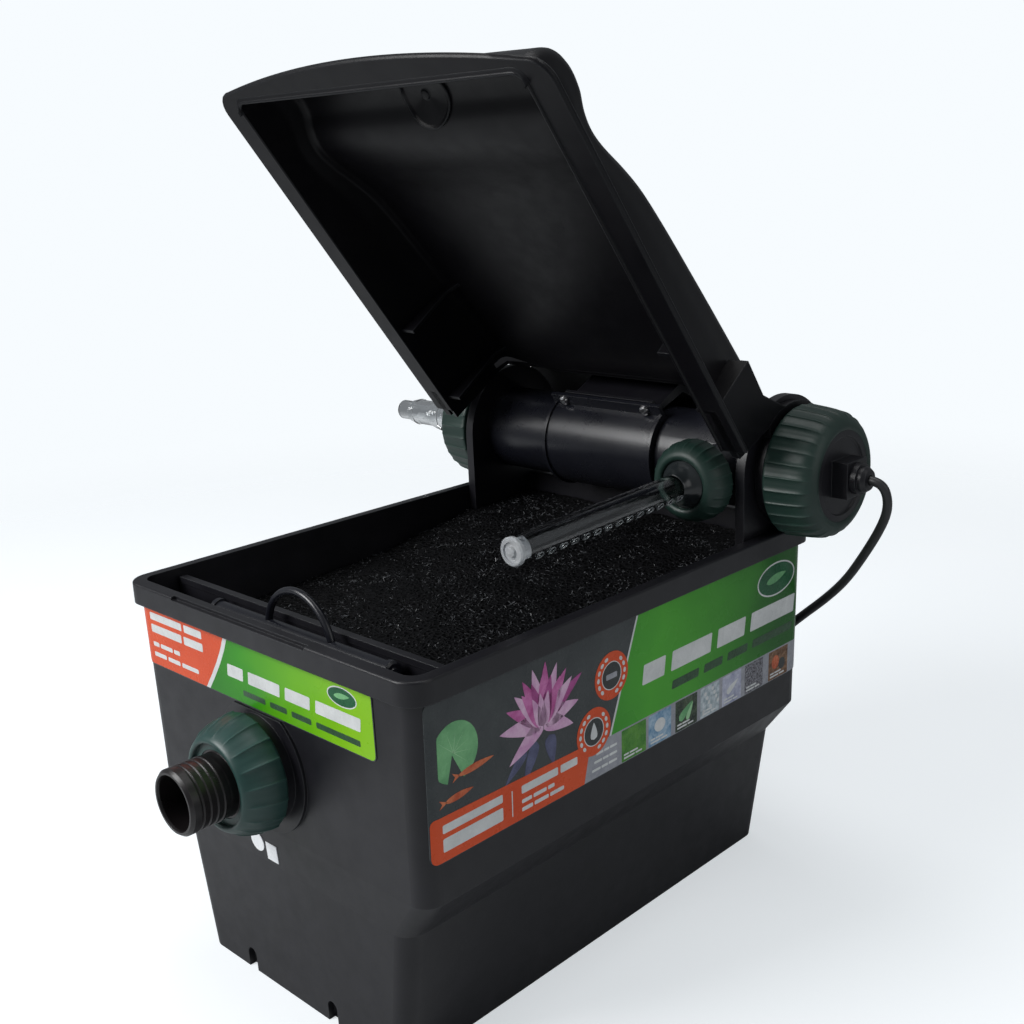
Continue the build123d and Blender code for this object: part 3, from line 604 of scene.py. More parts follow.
def lid_flange():
    bm = bmesh.new()
    section = [(0, 1.2), (0, 2.9), (1.1, 4.0), (None, 4.0), (None, 0.0), (1.1, 0.0)]
    loops = []
    for (ox, oy), (ix, iy) in flange_paths():
        span = math.hypot(ox - ix, oy - iy)
        loop = []
        for deep, z in section:
            t = 1 if deep is None else min(deep / span, 0.5)
            loop.append(bm.verts.new(Vector((ox + (ix - ox) * t, oy + (iy - oy) * t,
                                             LID_LOW + z)) * MM))
        loops.append(loop)
    stitch(bm, loops, caps=True)
    bmesh.ops.recalc_face_normals(bm, faces=bm.faces)
    bm.transform(OPEN)
    return finish_mesh(bm, "lid_flange", [LID], "lid")


def cheek_outline(side):
    """The hinge cheek's outline: a ring, larger over its upper part."""
    points = []
    for k in range(72):
        a = 5 * k if 5 * k <= 180 else 5 * k - 360
        r = 46.5 if -60 <= a <= 98 else 38.8
        points.append((TUBE_Y / MM - r * math.sin(math.radians(a)),
                       TUBE_Z / MM + r * math.cos(math.radians(a))))
    return points


def lid_cheek(side, name):
    """A ring round the bush and the web that joins it to the lid's side."""
    y, z = TUBE_Y / MM, TUBE_Z / MM
    front = [(121, 309.5), (109, 302.5), (96, 295.5), (66, 296.5), (66, LID_LOW)] if side > 0 else [
        (118, 309), (96, 300), (84, 262), (84, LID_LOW)]
    web = [(y - 20, z + 41), *front, (110, LID_LOW), (y - 45.5, z - 5), (y - 30, z - 5)]
    x0, x1 = (131.5, 137.5) if side > 0 else (-137.5, -131.5)
    bm = bmesh.new()
    plate_x(bm, [(a * MM, b * MM) for a, b in cheek_outline(side)], x0 * MM, x1 * MM)
    cheek = loose_object(bm, name + "_raw", [LID])
    tools = []
    bm = bmesh.new()
    wx0, wx1 = (131.6, 137.4) if side > 0 else (-137.4, -131.6)
    plate_x(bm, [(a * MM, b * MM) for a, b in web], wx0 * MM, wx1 * MM)
    tools.append(loose_object(bm, name + "_web"))
    cut(cheek, tools, "UNION")
    if side > 0:
        # the step from the lid's side wall out to the web
        step = block(name + "_step", 0.1225, 0.1374, 0.066, 0.069, LID_LOW * MM, 0.2962)
        tools.append(step)
        cut(cheek, [step], "UNION")
    hole = lathe_x(name + "_hole", [(0.1 * side, 0.0356), (0.2 * side, 0.0356)], TUBE_Y, TUBE_Z)
    tools.append(hole)
    cut(cheek, [hole])
    bpy.context.view_layer.update()
    made = baked(cheek, name, None, smooth=30)
    drop(tools)
    made.data.transform(OPEN)
    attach(made, "lid")
    return made


def lid_shell():
    bm = lid_surface()
    raw = loose_object(bm, "lid_raw", [LID])
    thick = raw.modifiers.new("thick", "SOLIDIFY")
    thick.thickness, thick.offset, thick.use_even_offset = LID_T * MM, -1, True
    tools = [
        lathe_x("cut_tube", [(-0.16, 0.0525), (0.16, 0.0525)], TUBE_Y, TUBE_Z),
        lathe_x("cut_nut", [(0.063, 0.0775), (0.1135, 0.0775)], TUBE_Y, TUBE_Z),
        block("cut_low", -0.16, 0.16, 0.111, 0.2, 0.2, TUBE_Z)]
    # beside the nut only the roof's right edge stays
    side_cut = bmesh.new()
    arc = [(TUBE_Y - 0.0775 * math.cos(math.radians(a)), TUBE_Z + 0.0775 * math.sin(math.radians(a)))
           for a in range(13, -36, -3)]
    plate_x(side_cut, [(0.2, 0.3095), *arc, (0.2, 0.247)], 0.113, 0.16)
    tools.append(loose_object(side_cut, "cut_side"))
    # the roof's rear edge is bowed: furthest back in the middle
    bow = bmesh.new()
    edge = [(-0.16, 0.098), (-0.128, 0.1), (-0.106, 0.104), (-0.085, 0.111), (-0.062, 0.1175),
            (-0.045, 0.1205), (0.031, 0.1205), (0.05, 0.1165), (0.16, 0.11), (0.16, 0.2),
            (-0.16, 0.2)]
    prism(bow, [(x, y, 0.302) for x, y in edge], [(x, y, 0.36) for x, y in edge])
    tools.append(loose_object(bow, "cut_bow"))
    cut(raw, tools)
    bpy.context.view_layer.update()
    shell = baked(raw, "lid_shell", None, smooth=32)
    drop(tools)
    shell.data.transform(OPEN)
    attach(shell, "lid")
    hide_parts("lid")
    return shell


def lid_details():
    """Ribs inside the side walls, and the bead round the flange."""
    bm = bmesh.new()
    for y in (22.0, 92.0):
        for side in (-1, 1):
            if side > 0 and y > 80:
                continue
            top = roof_z(y) - LID_T + 0.5
            outline = [(112.0, LID_LOW + 3), (side_x(LID_LOW + 3) - 2, LID_LOW + 3),
                       (side_x(top - 9) - 2, top - 9), (side_x(top) - 7, top), (112 - 8, top),
                       (110.5, top - 9)]
            prism(bm, *([Vector((side * x, y + half, z)) * MM for x, z in outline]
                        for half in (-1.2, 1.2)))
    bm.transform(OPEN)
    finish_mesh(bm, "lid_ribs", [LID], "lid")
    # the bead round the inner edge of the flange
    bead = [OPEN @ (Vector((ix, iy, LID_LOW + 0.2)) * MM) for (ox, oy), (ix, iy) in flange_paths()]
    tube_along("lid_bead", bead, 0.0013, LID, "lid")


def lid_hood():
    """The curved hood over the lamp tube, left of the spray bar's nut."""
    bm = bmesh.new()
    for x0, x1, first in ((-117, 62, 67), (-138, -117.1, 90)):
        rows = []
        for k in range(25):
            a = math.radians(first - (first + 27) * k / 24)
            row = []
            for r in (55.0, 58.0):
                for x in (x0, x1):
                    row.append(bm.verts.new((x * MM, TUBE_Y - r * MM * math.sin(a),
                                             TUBE_Z + r * MM * math.cos(a))))
            rows.append([row[0], row[1], row[3], row[2]])
        stitch(bm, rows, caps=True)
    bmesh.ops.recalc_face_normals(bm, faces=bm.faces)
    bm.transform(OPEN)
    finish_mesh(bm, "lid_hood", [LID_DULL], "lid")


def roof_ring(name, centre_y, rings):
    """A round moulding on the roof's inside: (radius, how far it stands down) rings."""
    bm = bmesh.new()
    loops = []
    n = 64
    for r, down in rings:
        loop = []
        for k in range(n):
            a = 2 * math.pi * k / n
            x, y = r * math.cos(a), centre_y + r * math.sin(a)
            z = roof_z(y) + 1.2 * (1 - (x / 110) ** 2) - LID_T - down
            loop.append(bm.verts.new(Vector((x, y, z)) * MM))
        loops.append(loop)
    stitch(bm, loops)
    bm.faces.new(loops[-1])
    bmesh.ops.recalc_face_normals(bm, faces=bm.faces)
    low = min(bm.faces, key=lambda f: f.calc_center_median().z)
    if low.normal.z > 0:
        bmesh.ops.reverse_faces(bm, faces=bm.faces)
    bm.transform(OPEN)
    return finish_mesh(bm, name, [LID], "lid")


lid_shell()
lid_flange()
lid_cheek(1, "lid_cheek_right")
lid_cheek(-1, "lid_cheek_left")
lid_details()
lid_hood()
roof_ring("lid_roundel", -149.5, [(20.0, -0.6), (19.6, 1.5), (18.6, 1.9), (17.4, 0.7),
                                  (16.6, 0.5), (3.6, 0.5), (3.0, 1.5), (1.4, 2.0), (0.4, 2.05)])


# ------------------------------------------------------------------ ring nuts
def turning_axis(name):
    """A joint's place and direction, in metres, and two directions across it."""
    joint = next(j for j in frame["joints"] if j["name"] == name)
    along = Vector(joint["axis"]).normalized()
    over = Vector((0, 0, 1))
    over = (over - along * over.dot(along)).normalized()
    return Vector(joint["pos_m"]), along, over, along.cross(over)


def ring_nut(name, cad, start, outer, inner, ribs, rib_h, wide, mat):
    """A moulded nut: a smooth turned body with thin round-topped ribs along its outside.

    outer and inner are (radius, height) points in mm; start is how far the joint's place is
    from where those heights begin."""
    origin, along, over, side = turning_axis(cad + "_turn")
    origin = origin - along * start * MM
    r_max = max(r for r, h in outer)
    low, high = outer[0][1], outer[-1][1]
    bumps = ((-1.5, 0), (-1.0, 0.35), (-0.5, 0.85), (0, 1), (0.5, 0.85), (1.0, 0.35), (1.5, 0))
    turns = []
    for k in range(ribs):
        for d, h in bumps:
            turns.append((2 * math.pi * k / ribs + d * wide / r_max, h))
        for t in (0.4, 0.6):
            turns.append((2 * math.pi * (k + t) / ribs, 0))
    smooth = catmull(outer, 3)
    bm = bmesh.new()
    loops = []
    for r, h in smooth:
        share = (h - low) / (high - low)
        fade = min(1, share / 0.06, (1 - share) / 0.16)
        loops.append([(r - rib_h + rib_h * bump * max(fade, 0), h, a) for a, bump in turns])
    for r, h in inner:
        loops.append([(r, h, a) for a, bump in turns])
    rows = [[bm.verts.new(origin + along * h * MM
                          + (over * math.cos(a) + side * math.sin(a)) * r * MM)
             for r, h, a in loop] for loop in loops]
    stitch(bm, rows, closed=True)
    bmesh.ops.recalc_face_normals(bm, faces=bm.faces)
    obj = finish_mesh(bm, name, [mat], cad, smooth=50)
    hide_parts(cad)
    return obj


BIG_OUT = [(44.0, 140.5), (44.7, 141.6), (44.8, 144), (44.2, 152), (43.4, 160), (42.4, 166),
           (40.8, 170), (38.2, 173), (35.2, 174.7), (33.2, 175), (31.6, 174.6), (30.7, 173.4)]
BIG_IN = [(30.7, 170.4), (32.3, 170.4), (32.3, 140.5)]
for end in ("lamp", "inlet"):
    ring_nut(end + "_nut", end + "_ring_nut", 160, BIG_OUT, BIG_IN, 30, 0.7, 0.62, GREEN)
ring_nut("spray_nut", "spray_ring_nut", 0,
         [(25.2, 51.2), (27.2, 52.2), (27.8, 54), (27.8, 60), (27.3, 64), (25.8, 68),
          (23.0, 71.6), (20.6, 73), (18.8, 73), (17.5, 72.2), (17.0, 71)],
         [(17.0, 70), (11.0, 70), (11.0, 65.2), (18.3, 65.2), (18.3, 51.2)], 24, 0.5, 0.6,
         GREEN)
ring_nut("outlet_nut", "outlet_ring_nut", 195,
         [(35.6, 189.1), (36.8, 190.2), (37.0, 192), (36.8, 196), (35.8, 201), (34.2, 206),
          (32.2, 210.5), (30.2, 213.8), (28.6, 215.3), (27.2, 215.5), (26.2, 214.8),
          (25.8, 213.6)],
         [(25.2, 212.3), (21.0, 212.3), (21.0, 211.9), (26.2, 211.8), (26.2, 189.1)], 18, 0.8,
         0.65, OUT_GREEN)


# ------------------------------------------------------------------ spray bar
HOLES, HOLE_START, HOLE_PITCH = 14, 84, 10.4
HOLE_TURN = math.radians(38)
RIM_CLEAR = clear("rim_clear", (0.60, 0.63, 0.65), (0.36, 0.39, 0.41), (0.1, 0.25), through=0.55)
COLLAR = plastic("collar_clear", (0.008, 0.010, 0.011), (0.020, 0.024, 0.026), (0.12, 0.24))


def spray_rims():
    """A raised rim round each hole of the spray bar, on the side away from the tub's middle."""
    origin, along, over, side = turning_axis("spray_bar_swivel")
    out = side * math.cos(HOLE_TURN) - over * math.sin(HOLE_TURN)
    if out.x < 0:
        out = -side * math.cos(HOLE_TURN) - over * math.sin(HOLE_TURN)
    across = along.cross(out)
    bm = bmesh.new()
    for i in range(HOLES):
        centre = origin + (along * (HOLE_START + HOLE_PITCH * i) + out * 8.95) * MM
        rings = []
        for k in range(20):
            a = 2 * math.pi * k / 20
            ray = along * math.cos(a) + across * math.sin(a)
            rings.append([bm.verts.new(centre + (ray * (2.75 + 0.45 * math.cos(b))
                                                 + out * 0.5 * math.sin(b)
                                                 - out * 0.42 * math.sin(a) ** 2) * MM)
                          for b in (0, 1.05, 2.1, 3.14, 4.19, 5.24)])
        stitch(bm, rings, closed=True)
    bmesh.ops.recalc_face_normals(bm, faces=bm.faces)
    finish_mesh(bm, "spray_rims", [RIM_CLEAR], "spray_bar", smooth=60)


def spray_collar():
    """The clear flare where the bar leaves its nut."""
    origin, along, over, side = turning_axis("spray_bar_swivel")
    bm = bmesh.new()
    rows = []
    for r, h in ((9.05, 82), (9.6, 79), (11.2, 75.5), (13.6, 73), (15.6, 71.8), (16.2, 71),
                 (15.8, 70.3), (9.05, 70.3)):
        rows.append([bm.verts.new(origin + (along * h + (over * math.cos(a) + side * math.sin(a)) * r)
                                  * MM) for a in (2 * math.pi * k / 64 for k in range(64))])
    stitch(bm, rows, closed=True)
    bmesh.ops.recalc_face_normals(bm, faces=bm.faces)
    finish_mesh(bm, "spray_collar", [COLLAR], "spray_bar", smooth=50)


spray_rims()
spray_collar()


# ------------------------------------------------------------------ foam
def wall_inside(z):
    """Half sizes of the tub's inside at a height."""
    steps = [(0, 99, 177), (91, 113, 178.5), (118, 133, 180.5), (238, 135.5, 181.5),
             (262, 135.5, 181.5)]
    for (z0, x0, y0), (z1, x1, y1) in zip(steps, steps[1:]):
        if z <= z1:
            t = (z - z0) / (z1 - z0)
            return x0 + (x1 - x0) * t - 3.5, y0 + (y1 - y0) * t - 3.5
    return 132.0, 178.0


def top_slope(y):
    """Height of the coarse foam's top."""
    line = [(-160, 214), (20, 222), (110, 234), (180, 238)]
    for (y0, z0), (y1, z1) in zip(line, line[1:]):
        if y <= y1:
            return z0 + (z1 - z0) * (y - y0) / (y1 - y0)
    return 238.0


def foam_block(name, cad, mat, z0, top, y0, y1, step, rough):
    """A foam block that fills the tub, with soft edges and a torn, cellular skin."""
    bm = bmesh.new()
    nx, ny, nz = int(262 / step), int((y1 - y0) / step), 7
    grid = {}
    for i in range(nx + 1):
        for j in range(ny + 1):
            for k in range(nz + 1):
                if 0 < i < nx and 0 < j < ny and 0 < k < nz:
                    continue
                u, v, w = i / nx, j / ny, k / nz
                y = y0 + (y1 - y0) * v
                high = top(y)
                z = z0 + (high - z0) * w
                hx, hy = wall_inside(z)
                x = (2 * u - 1) * (hx - 0.8)
                # the tub's inner corners are round at the rear
                depth = y - (hy - 9)
                if depth > 0:
                    swell = 9 - math.sqrt(max(9 ** 2 - min(depth, 8.7) ** 2, 0))
                    x = (2 * u - 1) * (hx - 0.8 - swell)
                edge = min(u, 1 - u) * 262
                soft = max(0, 1 - edge / 5) ** 2 * 2.2 + max(0, 1 - (y - y0) / 5) ** 2 * 2.2
                if k == nz:
                    z -= soft
                p = Vector((x, y, z))
                lump = noise.noise(p / 2.3) * rough + noise.noise(p / 21) * rough * 1.3
                p.z += (lump - rough) if k == nz else 0
                if 0 < i < nx and j in (0, ny):
                    p.y += (abs(lump) if j == 0 else -abs(lump)) * 0.6
                grid[i, j, k] = bm.verts.new(p * MM)

    def quad(*keys):
        bm.faces.new([grid[key] for key in keys])

    for i in range(nx):
        for j in range(ny):
            quad((i, j, nz), (i + 1, j, nz), (i + 1, j + 1, nz), (i, j + 1, nz))
            quad((i, j, 0), (i, j + 1, 0), (i + 1, j + 1, 0), (i + 1, j, 0))
    for k in range(nz):
        for i in range(nx):
            quad((i, 0, k), (i + 1, 0, k), (i + 1, 0, k + 1), (i, 0, k + 1))
            quad((i, ny, k), (i, ny, k + 1), (i + 1, ny, k + 1), (i + 1, ny, k))
        for j in range(ny):
            quad((0, j, k), (0, j, k + 1), (0, j + 1, k + 1), (0, j + 1, k))
            quad((nx, j, k), (nx, j + 1, k), (nx, j + 1, k + 1), (nx, j, k + 1))
    bmesh.ops.recalc_face_normals(bm, faces=bm.faces)
    obj = finish_mesh(bm, name, [mat], "tub", smooth=180)
    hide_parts(cad)
    return obj


def foam_strands():
    """The torn strands of the coarse foam's top, as short crossing struts."""
    rnd = random.Random(11)
    verts, faces = [], []
    for _ in range(24000):
        x, y = rnd.uniform(-129, 129), rnd.uniform(-146.5, 173)
        if abs(x) > 122 and y > 160:
            continue
        z = top_slope(y) - 1.6 + rnd.uniform(-2.4, 0.7)
        if abs(x) > 121 and y > 110:
            z = min(z, 230.0)
        a, tilt = rnd.uniform(0, 2 * math.pi), rnd.gauss(0, 0.5)
        d = Vector((math.cos(a) * math.cos(tilt), math.sin(a) * math.cos(tilt), math.sin(tilt)))
        long = rnd.uniform(1.4, 3.6)
        wide = rnd.uniform(0.16, 0.40)
        side = d.cross(Vector((0, 0, 1))).normalized() * wide
        over = d.cross(side).normalized() * wide
        base = len(verts)
        c = Vector((x, y, z))
        for end in (-1, 1):
            tip = c + d * long * end * 0.5
            tip.x = max(-129.5, min(129.5, tip.x))
            tip.y = max(-147.5, min(174.5, tip.y))
            for q in (side, -0.5 * side + 0.87 * over, -0.5 * side - 0.87 * over):
                verts.append((tip + q) * MM)
        faces += [(base, base + 1, base + 4, base + 3), (base + 1, base + 2, base + 5, base + 4),
                  (base + 2, base, base + 3, base + 5), (base, base + 2, base + 1),
                  (base + 3, base + 4, base + 5)]
    mesh = bpy.data.meshes.new("foam_strands")
    mesh.from_pydata(verts, [], faces)
    mesh.materials.append(STRAND)
    obj = bpy.data.objects.new("foam_strands", mesh)
    SCENE.collection.objects.link(obj)
    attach(obj, "tub")
    return obj


STRAND = plastic("foam_strand", (0.0012, 0.0012, 0.0016), (0.11, 0.115, 0.125), (0.25, 0.5),
                 patch=330, grain=2000, round_edge=0, Specular_IOR_Level=0.3)
foam_block("foam_top_block", "foam_coarse", FOAM, 166, top_slope, -147.6, 176.0, 3.0, 1.0)
foam_block("foam_middle_block", "foam_medium", FOAM_GREEN, 122, lambda y: 165.4, -147.4, 175.6,
           5.0, 0.3)
foam_block("foam_low_block", "foam_fine", FOAM_BLUE, 66.4, lambda y: 121.4, -147.0, 175.0, 5.0,
           0.3)
foam_strands()


# ------------------------------------------------------------------ printed labels
WHITE_INK = ink("ink_white", (0.60, 0.62, 0.62), (0.70, 0.72, 0.72))
ORANGE_INK = ink("ink_orange", (0.62, 0.070, 0.018), (0.70, 0.092, 0.026), 25)
DARK_LINE = ink("ink_dark_line", (0.03, 0.07, 0.035), (0.04, 0.10, 0.05))
DEEP_GREEN = ink("ink_deep_green", (0.012, 0.085, 0.035), (0.02, 0.12, 0.05))
LEAF_INK = ink("ink_leaf", (0.10, 0.30, 0.13), (0.20, 0.48, 0.22), 55)
VEIN_INK = ink("ink_vein", (0.30, 0.58, 0.30), (0.36, 0.64, 0.36))
PINK = ink("ink_pink", (0.42, 0.07, 0.26), (0.62, 0.20, 0.46), 110)
PINK_PALE = ink("ink_pink_pale", (0.58, 0.30, 0.52), (0.74, 0.50, 0.68), 110)
PINK_DEEP = ink("ink_pink_deep", (0.30, 0.05, 0.20), (0.45, 0.10, 0.32), 110)
FISH_INK = ink("ink_fish", (0.45, 0.08, 0.03), (0.66, 0.20, 0.09), 130)
WATER_INK = ink("ink_reflection", (0.07, 0.075, 0.14), (0.12, 0.13, 0.23), 90)
GREY_INK = ink("ink_grey", (0.28, 0.29, 0.33), (0.36, 0.37, 0.41))
CHARCOAL = ink("ink_charcoal", (0.030, 0.034, 0.036), (0.05, 0.056, 0.056), 30)
TILE_INKS = [
    ink("tile_green", (0.05, 0.20, 0.03), (0.12, 0.33, 0.05), 90),
    ink("tile_blue", (0.12, 0.26, 0.42), (0.42, 0.56, 0.68), 160),
    ink("tile_dark", (0.02, 0.03, 0.025), (0.07, 0.10, 0.06), 120),
    ink("tile_bubbles", (0.26, 0.34, 0.38), (0.60, 0.66, 0.70), 260),
    ink("tile_pale", (0.26, 0.28, 0.42), (0.55, 0.57, 0.68), 100),
    ink("tile_speckle", (0.015, 0.015, 0.02), (0.30, 0.30, 0.34), 700),
    ink("tile_brown", (0.10, 0.045, 0.02), (0.28, 0.16, 0.09), 200)]


class Print:
    """Flat printed shapes laid on a label; u runs along it and v up it, both in mm."""

    def __init__(self, name, place):
        self.name, self.place, self.bm, self.mats = name, place, bmesh.new(), []

    def paint(self, faces, mat):
        """Give faces an ink, adding it to the piece when it is new there."""
        if mat not in self.mats:
            self.mats.append(mat)
        for f in faces:
            f.material_index = self.mats.index(mat)

    def shape(self, points, mat, lift):
        """One filled outline, lift being its height above the film in mm."""
        dense = []
        for (u0, v0), (u1, v1) in zip(points, points[1:] + points[:1]):
            count = max(1, int(math.hypot(u1 - u0, v1 - v0) / 12))
            dense += [(u0 + (u1 - u0) * k / count, v0 + (v1 - v0) * k / count)
                      for k in range(count)]
        top = [self.bm.verts.new(self.place(u, v, lift) * MM) for u, v in dense]
        low = [self.bm.verts.new(self.place(u, v, 0.0) * MM) for u, v in dense]
        made = [self.bm.faces.new(top), self.bm.faces.new(list(reversed(low)))]
        for k in range(len(dense)):
            m = (k + 1) % len(dense)
            made.append(self.bm.faces.new((top[k], low[k], low[m], top[m])))
        self.paint(made, mat)
        bmesh.ops.triangulate(self.bm, faces=made[:2])

    def strip(self, u_flat, u_end, v0, v1, mat, lift, corner=3.4):
        """A printed area from a flat place round the tub's corner, rounded at its far end."""
        rows = []
        for k in range(13):
            u = u_flat + (u_end - u_flat) * k / 12
            near = max(0.0, corner - abs(u_end - u))
            trim = corner - math.sqrt(max(corner ** 2 - near ** 2, 0)) if near else 0
            rows.append([self.bm.verts.new(self.place(u, v, h) * MM)
                         for v, h in ((v0 + trim, 0), (v0 + trim, lift), (v1 - trim, lift),
                                      (v1 - trim, 0))])
        made = [self.bm.faces.new(rows[0]), self.bm.faces.new(list(reversed(rows[-1])))]
        for a, b in zip(rows, rows[1:]):
            for k in range(4):
                m = (k + 1) % 4
                made.append(self.bm.faces.new((a[k], a[m], b[m], b[k])))
        self.paint(made, mat)

    def box(self, u0, v0, u1, v1, mat, lift, corner=0.0, slant=0.0):
        """A bar with round corners, leaning by slant from bottom to top."""
        points = []
        for cu, cv, start in ((u1, v0, -90), (u1, v1, 0), (u0, v1, 90), (u0, v0, 180)):
            du, dv = (-1 if cu == u1 else 1), (1 if cv == v0 else -1)
            lean = slant * (cv - v0) / (v1 - v0)
            if corner <= 0:
                points.append((cu + lean, cv))
                continue
            for k in range(5):
                a = math.radians(start + 22.5 * k)
                points.append((cu + lean + du * corner + corner * math.cos(a),
                               cv + dv * corner + corner * math.sin(a)))
        self.shape(points, mat, lift)

    def oval(self, u, v, ru, rv, mat, lift, turn=0.0, sides=32):
        points = []
        for k in range(sides):
            a = 2 * math.pi * k / sides
            p, q = ru * math.cos(a), rv * math.sin(a)
            points.append((u + p * math.cos(turn) - q * math.sin(turn),
                           v + p * math.sin(turn) + q * math.cos(turn)))
        self.shape(points, mat, lift)

    def petal(self, u, v, angle, long, wide, mat, lift, blunt=0.5):
        """A pointed petal from (u, v) along angle, in degrees from straight up."""
        a = math.radians(angle)
        points = []
        for k in range(13):
            t = k / 12
            points.append((t * long, wide * math.sin(math.pi * t ** blunt) ** 0.8))
        for k in range(11, 0, -1):
            t = k / 12
            points.append((t * long, -wide * math.sin(math.pi * t ** blunt) ** 0.8))
        self.shape([(u + p * math.sin(a) + q * math.cos(a), v + p * math.cos(a) - q * math.sin(a))
                    for p, q in points], mat, lift)

    def words(self, u0, u1, v0, v1, widths, mat, lift, slant=0.0):
        """A row of plain bars that stands where a line of text would be."""
        total = sum(widths) + 0.045 * (len(widths) - 1)
        u = u0
        for w in widths:
            wide = (u1 - u0) * w / total
            self.box(u, v0, u + wide, v1, mat, lift, corner=min(0.9, (v1 - v0) * 0.3),
                     slant=slant)
            u += wide + (u1 - u0) * 0.045 / total

    def done(self):
        bmesh.ops.recalc_face_normals(self.bm, faces=self.bm.faces)
        return finish_mesh(self.bm, self.name, self.mats, "tub", smooth=30)


def wall_place(half_x, half_y, corner, side):
    """A function from a place along the wall and a height to the film's face there."""
    def out(z):
        t = (z - 118) / 120
        return 2.5 * t, 1.0 * t

    def place(u, v, lift):
        dx, dy = out(v)
        hx, hy = half_x + dx, half_y + dy
        proud = 0.53 + lift
        if side == "x":
            over = -(u + hy - corner)
            if over > 0:
                a = min(over / corner, 1.2)
                return Vector((hx - corner + (corner + proud) * math.cos(a),
                               -hy + corner - (corner + proud) * math.sin(a), v))
            over = u - hy + corner
            if over > 0:
                a = min(over / corner, 1.2)
                return Vector((hx - corner + (corner + proud) * math.cos(a),
                               hy - corner + (corner + proud) * math.sin(a), v))
            return Vector((hx + proud, u, v))
        over = abs(u) - hx + corner
        if over > 0:
            a = min(over / corner, 1.2)
            return Vector((math.copysign(hx - corner + (corner + proud) * math.sin(a), u),
                           -hy + corner - (corner + proud) * math.cos(a), v))
        return Vector((u, -hy - proud, v))
    return place


SIDE = wall_place(133.0, 180.5, 12.5, "x")
FRONT = wall_place(133.0, 180.5, 12.5, "y")


